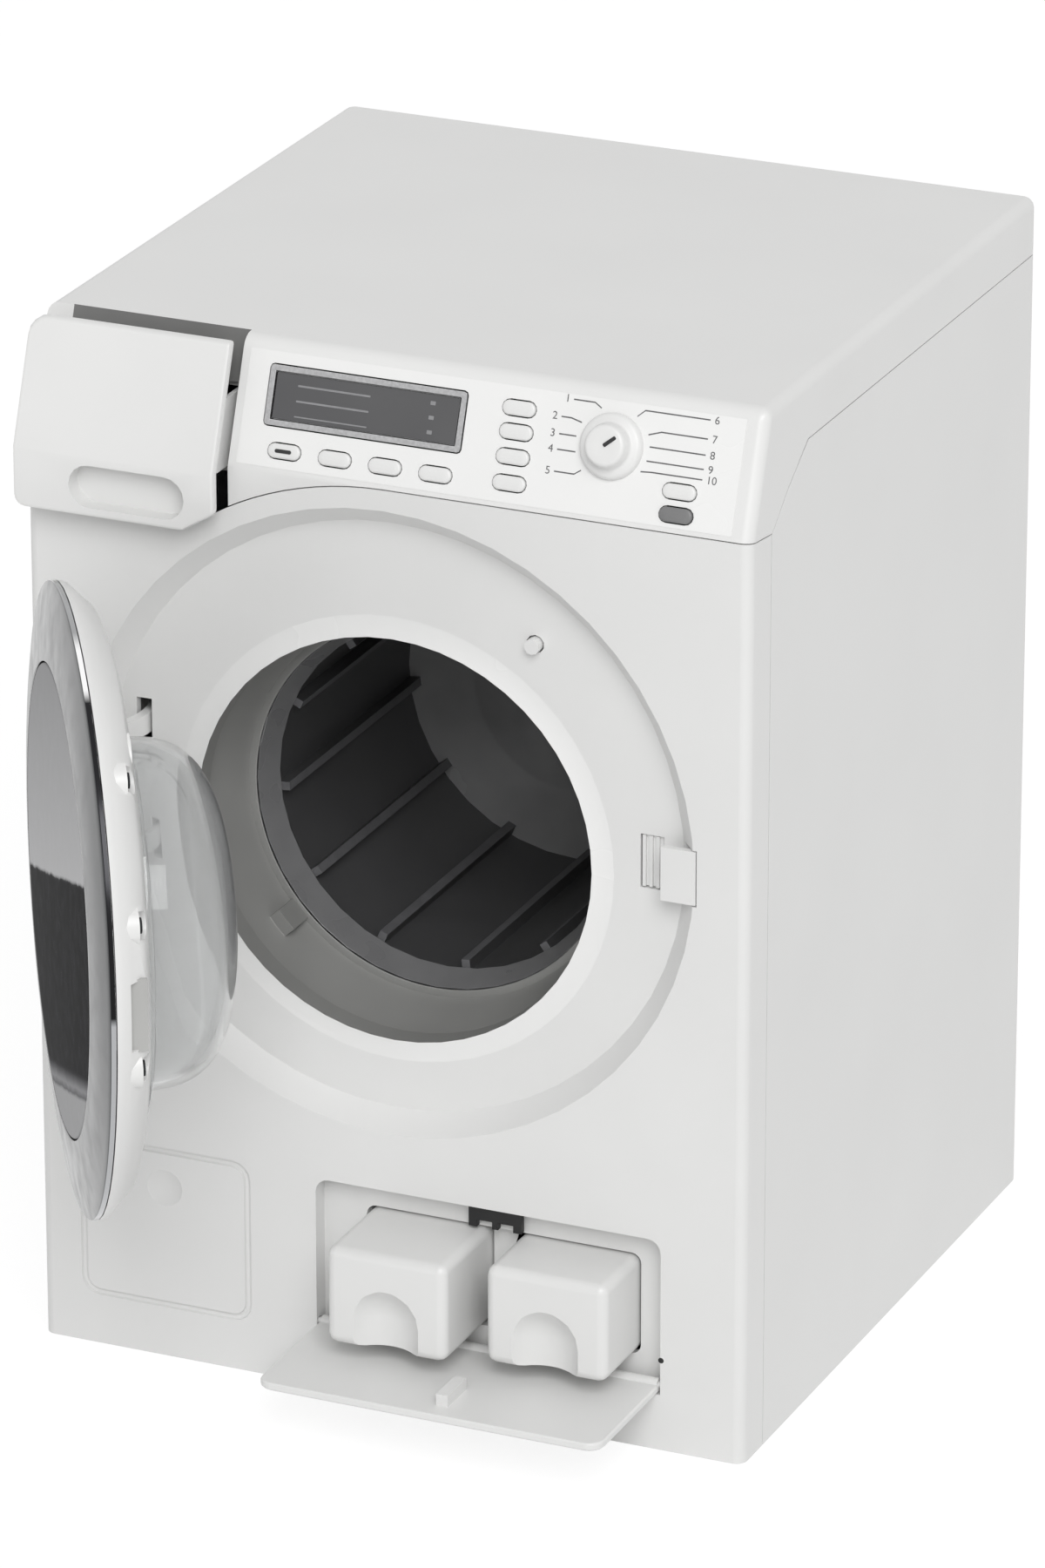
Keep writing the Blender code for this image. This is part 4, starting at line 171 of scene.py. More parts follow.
def paintFaces(piece, look, test):  # the faces that pass the test get a finish of their own
    startEdit(piece, "FACE")
    pick(piece, "faces", test)
    coatSelected(piece, look)


def coatSelected(piece, look):
    piece.data.materials.append(look)
    piece.active_material_index = len(piece.data.materials) - 1
    bpy.ops.object.material_slot_assign()


def dress(piece, material, body, slot, *nodes):
    piece.data.materials.clear()
    piece.data.materials.append(material)
    settle(piece, body, slot, *nodes)


def settle(piece, body, slot, *nodes):
    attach(piece, body)
    if nodes:
        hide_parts(*nodes)


def mouldedPlastic(name, look):
    # injection moulded styrenics: even colour, a faint cloudiness a few cm across,
    # and the fine etched skin of the mould, which breaks up the gloss
    material, tree = newMaterial(name)
    place = addNode(tree, "ShaderNodeTexCoord").outputs["Object"]
    cloud = addNode(tree, "ShaderNodeTexNoise",
                    {"Scale": 1 / (look["cloud"] * mm), "Detail": 2.0, "Roughness": 0.5}, {"Vector": place})
    tint = addNode(tree, "ShaderNodeValToRGB", links={"Fac": cloud.outputs["Fac"]})
    low, high = tint.color_ramp.elements
    low.position, high.position = 0.25, 0.75
    low.color, high.color = linearColour(look["shade"]), linearColour(look["colour"])
    rough = addNode(tree, "ShaderNodeMapRange",
                    {"From Min": 0.25, "From Max": 0.75, "To Min": look["rough"] - look["roughSpan"],
                     "To Max": look["rough"] + look["roughSpan"]}, {"Value": cloud.outputs["Fac"]})
    skin = addNode(tree, "ShaderNodeTexNoise",
                   {"Scale": 1 / (look["grain"] * mm), "Detail": 3.0, "Roughness": 0.6}, {"Vector": place})
    bump = addNode(tree, "ShaderNodeBump", {"Strength": look["depth"], "Distance": 0.05 * mm},
                   {"Height": skin.outputs["Fac"]})
    body = addNode(tree, "ShaderNodeBsdfPrincipled", {"IOR": look["ior"]},
                   {"Base Color": tint.outputs["Color"], "Roughness": rough.outputs["Result"],
                    "Normal": bump.outputs["Normal"]})
    addNode(tree, "ShaderNodeOutputMaterial", links={"Surface": body.outputs["BSDF"]})
    return material


def foilMetal(name, look):
    # bright metal skins: mirror-like, with fine hairs of polish along one way
    material, tree = newMaterial(name)
    place = addNode(tree, "ShaderNodeTexCoord").outputs["Object"]
    stretch = addNode(tree, "ShaderNodeMapping", {"Scale": look["stretch"]}, {"Vector": place})
    hairs = addNode(tree, "ShaderNodeTexNoise",
                    {"Scale": 1 / (look["grain"] * mm), "Detail": 2.0}, {"Vector": stretch.outputs["Vector"]})
    tint = addNode(tree, "ShaderNodeValToRGB", links={"Fac": hairs.outputs["Fac"]})
    low, high = tint.color_ramp.elements
    low.position, high.position = 0.3, 0.7
    low.color, high.color = linearColour(look["shade"]), linearColour(look["colour"])
    rough = addNode(tree, "ShaderNodeMapRange",
                    {"From Min": 0.3, "From Max": 0.7, "To Min": look["rough"],
                     "To Max": look["rough"] * 1.6}, {"Value": hairs.outputs["Fac"]})
    body = addNode(tree, "ShaderNodeBsdfPrincipled", {"Metallic": 1.0},
                   {"Base Color": tint.outputs["Color"], "Roughness": rough.outputs["Result"]})
    addNode(tree, "ShaderNodeOutputMaterial", links={"Surface": body.outputs["BSDF"]})
    return material


# moulded ABS, satin from a fine spark-eroded mould, an even white with hardly any tint
whiteAbs = mouldedPlastic("satinWhiteAbs", {"colour": "#E3E3E2", "shade": "#DFDFDE", "rough": 0.38, "roughSpan": 0.03,
                                            "cloud": 45, "grain": 0.9, "depth": 0.10, "ior": 1.54})
# the control field is printed over in a brighter gloss white; the same white is laid on the port's collar as a painted
# highlight
printWhiteAndCollarHighlight = mouldedPlastic("glossWhitePrintAndCollarHighlight", {"colour": "#ECECEB", "shade": "#E9E9E8", "rough": 0.26,
                                                "roughSpan": 0.03, "cloud": 30, "grain": 1.4, "depth": 0.04,
                                                "ior": 1.5})
# painted shade: the plate behind the drawer is coloured a dark grey for the shadow that falls in the narrow gap behind
# the drawer front
bayShadeGrey = mouldedPlastic("bayShadeGreyAbs", {"colour": "#717170", "shade": "#696968", "rough": 0.5, "roughSpan": 0.04,
                                        "cloud": 12, "grain": 0.9, "depth": 0.15, "ior": 1.54})
# grey ABS of the ring behind the port, a little duller; the port's own wall takes it too, as painted shade for the
# inside of the port
greyAbsAndPortShade = mouldedPlastic("greyAbsAndPortShade", {"colour": "#929290", "shade": "#8A8A88", "rough": 0.42, "roughSpan": 0.04,
                                     "cloud": 25, "grain": 0.9, "depth": 0.12, "ior": 1.54})
# painted shade: the drawer's housing in the gaps round the drawer, and the lining of the latch slot, are coloured a
# paler grey for the shade in there
paleShadeGrey = mouldedPlastic("paleShadeGreyAbs", {"colour": "#B4B4B2", "shade": "#ABABA9", "rough": 0.42, "roughSpan": 0.04,
                                          "cloud": 25, "grain": 0.9, "depth": 0.12, "ior": 1.54})
# drum in charcoal polystyrene, half matt
charcoalStyrene = mouldedPlastic("charcoalStyrene", {"colour": "#4B4B4C", "shade": "#434344", "rough": 0.4,
                                                     "roughSpan": 0.05, "cloud": 20, "grain": 0.8, "depth": 0.15,
                                                     "ior": 1.59})
# painted light: the drum's front lip is coloured lighter for the light it catches, and the crests and front ends of its
# ribs are paler as painted highlights
lipPaintedLight = mouldedPlastic("lipPaintedLight", {"colour": "#7A7A7B", "shade": "#717172", "rough": 0.3, "roughSpan": 0.05,
                                           "cloud": 12, "grain": 0.8, "depth": 0.1, "ior": 1.59})
ribPaintedHighlight = mouldedPlastic("ribPaintedHighlightStyrene", {"colour": "#68686A", "shade": "#5A5A5C", "rough": 0.45, "roughSpan": 0.06,
                                              "cloud": 4, "grain": 0.6, "depth": 0.2, "ior": 1.59})
# painted light: the drum's back wall stands square to the light and is coloured lighter for it
backPaintedLight = mouldedPlastic("backWallPaintedLightStyrene", {"colour": "#9A9A9B", "shade": "#878788", "rough": 0.24,
                                                 "roughSpan": 0.05, "cloud": 18, "grain": 0.9, "depth": 0.08,
                                                 "ior": 1.59})
# clip and key markings in black nylon, matt; the same black is also the painted shade of the hole beside the flap
blackNylonAndHoleShade = mouldedPlastic("blackNylonAndHoleShade", {"colour": "#1B1B1C", "shade": "#141415", "rough": 0.5, "roughSpan": 0.05,
                                           "cloud": 8, "grain": 0.7, "depth": 0.2, "ior": 1.53})
# the door key is moulded in mid grey
keyGrey = mouldedPlastic("doorKeyGrey", {"colour": "#787878", "shade": "#6F6F70", "rough": 0.36, "roughSpan": 0.04,
                                         "cloud": 5, "grain": 0.7, "depth": 0.1, "ior": 1.54})
# screen lens: dark acrylic in front of a grey card, smooth gloss
screenLens = mouldedPlastic("screenLens", {"colour": "#575758", "shade": "#4C4C4E", "rough": 0.16, "roughSpan": 0.02,
                                           "cloud": 30, "grain": 1.5, "depth": 0.03, "ior": 1.49})
# pad-printed ink, dark grey and flat, thinner where the pad lifted
panelInk = mouldedPlastic("panelInk", {"colour": "#4A4A4B", "shade": "#6A6A6B", "rough": 0.55, "roughSpan": 0.05,
                                       "cloud": 1.5, "grain": 0.3, "depth": 0.05, "ior": 1.5})
# screen segments, pale grey print behind the lens
segmentInk = mouldedPlastic("segmentInk", {"colour": "#8E8E90", "shade": "#828284", "rough": 0.4, "roughSpan": 0.04,
                                           "cloud": 2, "grain": 0.5, "depth": 0.03, "ior": 1.49})
# epoxy circuit board under green lacquer, with the darker weave of its glass cloth
boardLacquer = mouldedPlastic("boardLacquer", {"colour": "#2C6B45", "shade": "#1F5636", "rough": 0.3,
                                               "roughSpan": 0.05, "cloud": 3, "grain": 0.4, "depth": 0.2, "ior": 1.55})
# vacuum-metallised ABS of the door ring: nearly a mirror, with a soft haze
ringSilver = foilMetal("metallisedRing", {"colour": "#575859", "shade": "#525354", "rough": 0.16, "grain": 7.0,
                                          "stretch": (1.0, 1.0, 1.0)})
# the screen's rim is painted silver, far duller than the ring
rimSilver = foilMetal("silverPaint", {"colour": "#B9B9BA", "shade": "#A8A8A9", "rough": 0.34, "grain": 0.6,
                                      "stretch": (1.0, 1.0, 1.0)})
# the door's screws are phosphated steel, a dull dark grey
phosphatedSteel = foilMetal("phosphatedSteel", {"colour": "#3E3F41", "shade": "#333436", "rough": 0.5, "grain": 0.6,
                                                "stretch": (1.0, 1.0, 1.0)})
# zinc-plated steel screws, pins and contacts, with turning marks
zincSteel = foilMetal("zincSteel", {"colour": "#C4C5C6", "shade": "#A9AAAC", "rough": 0.27, "grain": 0.5,
                                    "stretch": (1.0, 6.0, 1.0)})


def bandRamp(tree, socket, low, high, bands):  # colours by a height in mm, each from its own level up
    reach = addNode(tree, "ShaderNodeMapRange", {"From Min": low * mm, "From Max": high * mm}, {"Value": socket})
    ramp = addNode(tree, "ShaderNodeValToRGB", links={"Fac": reach.outputs["Result"]})
    stops = ramp.color_ramp.elements
    while len(stops) < len(bands):
        stops.new(0.5)
    for stop, (level, hexText) in zip(stops, bands):
        stop.position = (level - low) / (high - low)
        stop.color = linearColour(hexText)
    return ramp.outputs["Color"]


def windowWithPaintedReflection(name, look):
    # smoked styrene with a painted reflection: light bands above and at the foot, and a deep dark field between them
    # for the dark room it mirrors:
    # the field's edges run slantwise, and the smoke over it is cloudy
    material, tree = newMaterial(name)
    place = addNode(tree, "ShaderNodeTexCoord").outputs["Object"]
    slant = addNode(tree, "ShaderNodeVectorMath", {"operation": "DOT_PRODUCT", 1: look["slant"]}, {0: place})
    ripple = addNode(tree, "ShaderNodeTexNoise", {"Scale": 1 / (look["ripple"] * mm), "Detail": 4.0,
                                                  "Roughness": 0.65}, {"Vector": place})
    edge = addNode(tree, "ShaderNodeMapRange", {"To Min": -look["jag"] * mm, "To Max": look["jag"] * mm},
                   {"Value": ripple.outputs["Fac"]})
    level = addNode(tree, "ShaderNodeMath", {"operation": "ADD"},
                    {0: slant.outputs["Value"], 1: edge.outputs["Result"]})
    zones = bandRamp(tree, level.outputs["Value"], look["low"], look["high"], look["bands"])
    smoke = addNode(tree, "ShaderNodeValToRGB", links={"Fac": ripple.outputs["Fac"]})
    smoke.color_ramp.elements[0].position, smoke.color_ramp.elements[1].position = 0.42, 0.72
    smoke.color_ramp.elements[0].color = linearColour("#000000")
    smoke.color_ramp.elements[1].color = linearColour(look["smoke"])
    tint = addNode(tree, "ShaderNodeMix", {"data_type": "RGBA", "blend_type": "ADD", 0: 1.0},
                   {6: zones, 7: smoke.outputs["Color"]})
    body = addNode(tree, "ShaderNodeBsdfPrincipled",
                   {"Roughness": look["rough"], "Specular IOR Level": 0.0, "Coat Weight": look["gloss"],
                    "Coat Roughness": 0.08}, {"Base Color": tint.outputs[2]})
    addNode(tree, "ShaderNodeOutputMaterial", links={"Surface": body.outputs["BSDF"]})
    return material


def rimWithPaintedReflection(name, look):
    # painted reflection: the ring's narrow side is coloured dark along part of its metal skin for the dark room it
    # mirrors, with a bright painted highlight above that
    material, tree = newMaterial(name)
    place = addNode(tree, "ShaderNodeTexCoord").outputs["Object"]
    height = addNode(tree, "ShaderNodeSeparateXYZ", links={"Vector": place})
    skin = bandRamp(tree, height.outputs["Z"], look["low"], look["high"], look["bands"])
    body = addNode(tree, "ShaderNodeBsdfPrincipled", {"Metallic": 1.0, "Roughness": look["rough"]},
                   {"Base Color": skin})
    addNode(tree, "ShaderNodeOutputMaterial", links={"Surface": body.outputs["BSDF"]})
    return material


def clearStyrene(name, look):
    # clear moulded polystyrene of the bowl: colourless, with flow lines that bend what is behind it
    material, tree = newMaterial(name)
    place = addNode(tree, "ShaderNodeTexCoord").outputs["Object"]
    flow = addNode(tree, "ShaderNodeTexNoise", {"Scale": 1 / (look["flow"] * mm), "Detail": 1.0}, {"Vector": place})
    bump = addNode(tree, "ShaderNodeBump", {"Strength": look["depth"], "Distance": 0.5 * mm},
                   {"Height": flow.outputs["Fac"]})
    haze = addNode(tree, "ShaderNodeMapRange",
                   {"From Min": 0.35, "From Max": 0.65, "To Min": look["rough"], "To Max": look["rough"] * 2},
                   {"Value": flow.outputs["Fac"]})
    body = addNode(tree, "ShaderNodeBsdfPrincipled",
                   {"Base Color": linearColour(look["colour"]), "IOR": 1.49, "Transmission Weight": look["clear"]},
                   {"Roughness": haze.outputs["Result"], "Normal": bump.outputs["Normal"]})
    addNode(tree, "ShaderNodeOutputMaterial", links={"Surface": body.outputs["BSDF"]})
    return material


# the painted reflection's bands run along the slant: the height, less a third of the way across the door as it stands
# open
smokedStyrenePaintedReflection = windowWithPaintedReflection("smokedStyrenePaintedReflection", {
    "slant": (-0.1945, 0.2910, 1.0), "low": 50.0, "high": 180.0, "smoke": "#232326", "jag": 0.9, "ripple": 5.0,
    "rough": 0.4, "gloss": 0.08,
    "bands": [(50.0, "#B0B0B1"), (64.0, "#B0B0B1"), (64.6, "#6C6C6E"), (66.4, "#98989A"), (68.6, "#5A5A5C"),
              (70.0, "#0C0C0E"), (117.0, "#0C0C0E"), (117.8, "#C6C6C7"), (171.0, "#A2A2A3")]})
# painted reflection on the ring's narrow side: a dark band for the dark room, and a painted highlight above it
ringSidePaintedReflection = rimWithPaintedReflection("rimPaintedReflection", {
    "low": 70.0, "high": 230.0, "rough": 0.2,
    "bands": [(70.0, "#B2B3B5"), (148.0, "#B2B3B5"), (150.0, "#242425"), (212.0, "#2C2C2E"), (213.5, "#FAFAFA"),
              (219.0, "#FAFAFA"), (220.5, "#A2A3A4")]})
bowlClear = clearStyrene("clearStyrene", {"colour": "#F4F5F5", "flow": 14.0, "depth": 0.06, "rough": 0.02,
                                          "clear": 0.82})
print("washer: finishes made")

# The fascia's foot and slope, and where the door's hinge and its middle are as it stands open
fascia = {"tilt": 70.11, "up": 0.94034, "back": 0.34019, "footY": -91.0, "footZ": 232.7}
doorway = {"swing": -56.24, "hinge": (-84.0, -84.0), "middle": (-50.46, -162.62, 148.5), "axisZ": 148.5,
           "bowlZ": 144.0}
doorSwing = math.radians(doorway["swing"])


def onFascia(x, s, n):  # across, up the slope and out of it, all in mm
    return (x * mm, (fascia["footY"] + fascia["back"] * s - fascia["up"] * n) * mm,
            (fascia["footZ"] + fascia["up"] * s + fascia["back"] * n) * mm)


def fasciaHeight(nodeName):  # how far a CAD node stands out of the fascia, in mm
    return max((v.co - Vector(onFascia(0, 0, 0))).dot(normal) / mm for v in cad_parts[nodeName].data.vertices)


normal = Vector((0, -fascia["up"], fascia["back"]))
slopeUp = Vector((0, fascia["back"], fascia["up"]))


def ontoFascia(piece, x, s, n, turn=0.0):
    putMesh(piece, turn=(0, 0, turn))
    putMesh(piece, turn=(math.radians(fascia["tilt"]), 0, 0), place=onFascia(x, s, n))


def swingOpen(piece):  # takes a piece that was placed in the closed door to where the door stands
    c, s = math.cos(doorSwing), math.sin(doorSwing)
    x, y = doorway["hinge"]
    putMesh(piece, turn=(0, 0, doorSwing), place=((x - c * x + s * y) * mm, (y - s * x - c * y) * mm, 0))


def ontoDoor(piece, centreZ):  # stands the turned piece up in the closed door, then opens the door
    putMesh(piece, turn=(math.pi / 2, 0, 0), place=(0, 0, centreZ * mm))
    swingOpen(piece)


housing = {  # node: (piece, finish, slot, edge rounding in mm)
    "cabinet": ("cabinetShell", whiteAbs, "white_plastic", 0.0),
    "front_panel": ("frontPanelShell", whiteAbs, "white_plastic", 0.45),
    "base_plate": ("basePlate", whiteAbs, "white_plastic", 0.3),
    "tub_ring": ("tubRing", greyAbsAndPortShade, "grey_plastic", 0.25),
    "bearing_bracket": ("bearingBracket", whiteAbs, "white_plastic", 0.3),
    "battery_box": ("batteryBox", whiteAbs, "white_plastic", 0.25),
    "battery_cover": ("batteryCover", whiteAbs, "white_plastic", 0.4),
    "bay_housing": ("bayHousing", whiteAbs, "white_plastic", 0.3),
    # the drawer's housing takes the painted shade grey
    "drawer_housing": ("drawerHousing", paleShadeGrey, "white_plastic", 0.25),
    "door_latch": ("doorLatch", whiteAbs, "white_plastic", 0.25),
    "flap_clip": ("flapClip", blackNylonAndHoleShade, "black_plastic", 0.3),
    "door_hinge_bracket": ("hingeBracket", whiteAbs, "white_plastic", 0.25),
    "door_hinge_pin": ("hingePin", zincSteel, "steel", 0.2),
    "motor": ("motorCan", zincSteel, "steel", 0.3),
    "control_board": ("controlBoard", boardLacquer, "board", 0.1),
    "dial_switch": ("dialSwitch", blackNylonAndHoleShade, "black_plastic", 0.2),
    "battery_contact_left": ("contactLeft", zincSteel, "steel", 0.05),
    "battery_contact_right": ("contactRight", zincSteel, "steel", 0.05),
    "battery_cover_screw": ("coverScrew", zincSteel, "steel", 0.12),
    "base_screw_1": ("baseScrew1", zincSteel, "steel", 0.12),
    "base_screw_2": ("baseScrew2", zincSteel, "steel", 0.12),
    "base_screw_3": ("baseScrew3", zincSteel, "steel", 0.12),
    "base_screw_4": ("baseScrew4", zincSteel, "steel", 0.12),
}
port = {"z": 143.0, "radius": 51.0, "collar": 56.3, "front": -86.2, "back": -85.3}


def fromPortAxis(point):  # the drum turns about the same axis
    return math.hypot(point.x, point.z - port["z"] * mm) / mm


def onCollarPaintedHighlight(face):  # painted highlight: the low collar round the port is coloured in the brighter white
    middle = face.calc_center_median()
    return (face.normal.y < -0.3 and port["front"] < middle.y / mm < port["back"]
            and port["radius"] - 0.3 < fromPortAxis(middle) < port["collar"] + 0.2)


def onPortWallPaintedShade(face):  # painted shade: the wall of the port is coloured grey like the ring behind it
    return abs(face.normal.y) < 0.3 and all(abs(fromPortAxis(v.co) - port["radius"]) < 0.2 for v in face.verts)


for node, (name, finish, slot, edge) in housing.items():
    part = fromNode(node, name)
    part.data.materials.append(finish)
    if node == "front_panel":
        # painted highlight on the port's collar
        paintFaces(part, printWhiteAndCollarHighlight, onCollarPaintedHighlight)
        # painted shade on the port's wall
        paintFaces(part, greyAbsAndPortShade, onPortWallPaintedShade)
    roundEdges(part, edge)
    settle(part, "body", slot, node)
print("washer: housing dressed")

# The lid carries the control field: the fascia is scored round it and its face stands up a little
field = {"left": -37.6, "right": 87.4, "low": 1.3, "high": 28.6, "rise": 0.12}
bay = {"left": -85.8, "right": -40.4, "lowest": -4.2, "highest": -2.6}
lid = fromNode("top_cover", "lidShell")


def fasciaDepth(face):
    return (face.calc_center_median() - Vector(onFascia(0, 0, 0))).dot(normal) / mm


def onSlope(face):
    return face.normal.dot(normal) > 0.9995 and abs(fasciaDepth(face)) < 0.1


def onBayPaintedShade(face):  # the strip of plate above the drawer's opening, which gets the painted shade
    return (face.normal.dot(normal) > 0.99 and bay["lowest"] < fasciaDepth(face) < bay["highest"]
            and bay["left"] < face.calc_center_median().x / mm < bay["right"])


def insideField(face):
    middle = face.calc_center_median() - Vector(onFascia(0, 0, 0))
    across, up = middle.x / mm, middle.dot(slopeUp) / mm
    return onSlope(face) and field["left"] < across < field["right"] and field["low"] < up < field["high"]


startEdit(lid, "FACE")
sideways, upwards = (1, 0, 0), tuple(slopeUp)
for place, cutNormal in ((onFascia(field["left"], 0, 0), sideways), (onFascia(field["right"], 0, 0), sideways),
                         (onFascia(0, field["low"], 0), upwards), (onFascia(0, field["high"], 0), upwards)):
    bpy.ops.mesh.select_all(action="DESELECT")
    pick(lid, "faces", onSlope)
    bpy.ops.mesh.bisect(plane_co=place, plane_no=cutNormal)
bpy.ops.mesh.select_mode(type="FACE")
bpy.ops.mesh.select_all(action="DESELECT")
pick(lid, "faces", insideField)
bpy.ops.mesh.extrude_region_move(TRANSFORM_OT_translate={"value": tuple(normal * field["rise"] * mm)})
lid.data.materials.append(whiteAbs)
coatSelected(lid, printWhiteAndCollarHighlight)
bpy.ops.mesh.select_all(action="SELECT")
bpy.ops.mesh.bisect(plane_co=(bay["left"] * mm, 0, 0), plane_no=sideways)
# painted shade on the strip of plate above the drawer
paintFaces(lid, bayShadeGrey, onBayPaintedShade)
roundEdges(lid, 0.0)
settle(lid, "body", "white_plastic", "top_cover")
print("washer: lid and control field made")

drumPieces = {
    "drum": ("ribbedDrum", charcoalStyrene, "charcoal_plastic", 0.15, "drum_unit"),
    "drum_shaft": ("drumShaft", zincSteel, "steel", 0.2, "drum_unit"),
    "drum_gear": ("drumGear", whiteAbs, "white_plastic", 0.1, "drum_unit"),
    "motor_pinion": ("motorPinion", whiteAbs, "white_plastic", 0.08, "pinion"),
}
drum = {"front": -62.0, "lipDepth": 7.0, "lipInner": 43.5, "lipOuter": 47.1, "ribCrest": 42.0, "ribFront": -54.5,
        "ribOuter": 45.0, "backFrom": -30.0, "backOuter": 44.0}


# the lip's faces, which get the painted light
def onLipPaintedLight(face):
    middle = face.calc_center_median()
    return (face.normal.y < -0.2 and middle.y / mm < drum["front"] + drum["lipDepth"] - 0.1
            and drum["lipInner"] < fromPortAxis(middle) < drum["lipOuter"])


def onRibPaintedHighlight(face):  # crests along the ribs and their front ends, which get the painted highlight
    middle = face.calc_center_median()
    reach = fromPortAxis(middle)
    inwards = -(face.normal.x * middle.x + face.normal.z * (middle.z - port["z"] * mm)) / mm / max(reach, 1)
    crest = abs(reach - drum["ribCrest"]) < 0.4 and inwards > 0.9
    tip = face.normal.y < -0.9 and abs(middle.y / mm - drum["ribFront"]) < 0.4 and reach < drum["ribOuter"]
    return crest or tip


def onBackPaintedLight(face):  # the back wall and the hub before it, which get the painted light
    middle = face.calc_center_median()
    return face.normal.y < -0.7 and middle.y / mm > drum["backFrom"] and fromPortAxis(middle) < drum["backOuter"]


for node, (name, finish, slot, edge, body) in drumPieces.items():
    part = fromNode(node, name)
    part.data.materials.append(finish)
    if node == "drum":
        # painted light on the lip and back wall, painted highlights on the ribs
        for look, test in ((lipPaintedLight, onLipPaintedLight), (ribPaintedHighlight, onRibPaintedHighlight), (backPaintedLight, onBackPaintedLight)):
            paintFaces(part, look, test)
    roundEdges(part, edge)
    settle(part, body, slot, node)
print("washer: drum dressed")

# A thin ring closes the gap between the tub's cone and the drum, just ahead of the drum
seal = turnPiece("drumSeal", [(46.75, 62.35), (46.75, 62.5), (47.0, 62.7), (48.4, 62.75), (48.95, 62.6),
                              (48.95, 62.1), (48.5, 62.1), (48.3, 62.35), (46.75, 62.35)], 144)
putMesh(seal, turn=(math.pi / 2, 0, 0), place=(0, 0, port["z"] * mm))
roundEdges(seal, 0.0)
dress(seal, greyAbsAndPortShade, "body", "grey_plastic")

def block(name, low, high):  # a box between two corners in mm, left in edit mode with all of it selected
    piece = freshPrimitive(name, bpy.ops.mesh.primitive_cube_add, size=mm)
    startEdit(piece, "FACE")
    bpy.ops.mesh.select_all(action="SELECT")
    bpy.ops.transform.resize(value=tuple(b - a for a, b in zip(low, high)), center_override=(0, 0, 0))
    bpy.ops.transform.translate(value=tuple((a + b) / 2 * mm for a, b in zip(low, high)))
    return piece


# Ribs fill the core behind the catch, below the floor of the recess
catch = {"low": (63.4, -84.3, 141.8), "high": (68.6, -83.3, 154.7), "strips": 6, "rib": 0.7}
catchLeft, catchWidth = catch["low"][0], catch["high"][0] - catch["low"][0]
catchBacking = block("catchRibs", catch["low"], catch["high"])
for k in range(1, catch["strips"]):  # cuts the front into strips, of which every other one is drawn out as a rib
    bpy.ops.mesh.select_all(action="SELECT")
    bpy.ops.mesh.bisect(plane_co=((catchLeft + catchWidth * k / catch["strips"]) * mm, 0, 0), plane_no=(1, 0, 0))
bpy.ops.mesh.select_mode(type="FACE")
for k in range(0, catch["strips"], 2):
    bpy.ops.mesh.select_all(action="DESELECT")
    pick(catchBacking, "faces", lambda f: f.normal.y < -0.9 and int(
        (f.calc_center_median().x / mm - catchLeft) / catchWidth * catch["strips"]) == k)
    bpy.ops.mesh.extrude_region_move(TRANSFORM_OT_translate={"value": (0, -catch["rib"] * mm, 0)})
roundEdges(catchBacking, 0.08)
dress(catchBacking, whiteAbs, "body", "white_plastic")

# Painted shade: a black disc stands for the dark inside of a small hole beside the flap's hinge
hole = {"x": 71.3, "z": 23.5, "radius": 0.72, "face": 91.0, "back": 90.6}
holeShadeDisc = turnPiece("flapHoleShade", [(0, hole["face"] + 0.03), (hole["radius"] - 0.1, hole["face"] + 0.03),
                                  (hole["radius"], hole["face"]), (hole["radius"], hole["back"]),
                                  (0, hole["back"])], 24)
putMesh(holeShadeDisc, turn=(math.pi / 2, 0, 0), place=(hole["x"] * mm, 0, hole["z"] * mm))
roundEdges(holeShadeDisc, 0.0)
dress(holeShadeDisc, blackNylonAndHoleShade, "body", "black_plastic")

ring = {"outer": 74.0, "inner": 55.3, "face": 97.0, "crest": 99.4, "bulge": 0.35, "back": 95.7, "land": 1.6,
        "seat": 97.2, "foot": 95.05, "footEdge": 70.6, "sideFrom": 73.4}


def doorRing():
    outline = [(ring["outer"], ring["back"]), (ring["outer"], ring["face"] - 0.55),
               (ring["outer"] - 0.12, ring["face"] - 0.2), (ring["outer"] - 0.42, ring["face"] + 0.04)]
    for k in range(1, 10):  # a shallow crown from rim to window
        t = k / 10
        outline.append((ring["outer"] - 0.42 - t * (ring["outer"] - 0.42 - ring["inner"] - 0.5),
                        ring["face"] + 0.04 + t * (ring["crest"] - ring["face"] - 0.1)
                        + ring["bulge"] * math.sin(math.pi * t)))
    outline += [(ring["inner"] + 0.5, ring["crest"]), (ring["inner"] + 0.14, ring["crest"] - 0.12),
                (ring["inner"], ring["crest"] - 0.5), (ring["inner"], ring["seat"]),
                (ring["inner"] - ring["land"], ring["seat"]), (ring["inner"] - ring["land"], ring["foot"]),
                (ring["inner"] + ring["land"], ring["foot"]), (ring["footEdge"], ring["back"]),
                (ring["outer"], ring["back"])]
    return turnPiece("doorRing", outline, 180)


window = {"radius": 55.0, "edge": 99.4, "crown": 0.8, "thick": 1.9}


def doorWindow():
    front = [(window["radius"] * k / 12, window["edge"] + window["crown"] * (1 - (k / 12) ** 2)) for k in range(12)]
    front += [(window["radius"] - 0.25, window["edge"] - 0.02), (window["radius"], window["edge"] - 0.3)]
    back = [(r, h - window["thick"]) for r, h in reversed(front[:12:3])]
    return turnPiece("doorWindow", front + [(window["radius"], window["edge"] - window["thick"])] + back, 144)


bowl = {"flange": 48.5, "low": 86.1, "top": 83.2, "radius": 41.0, "depth": 23.7, "wall": 1.6, "power": 3.0}


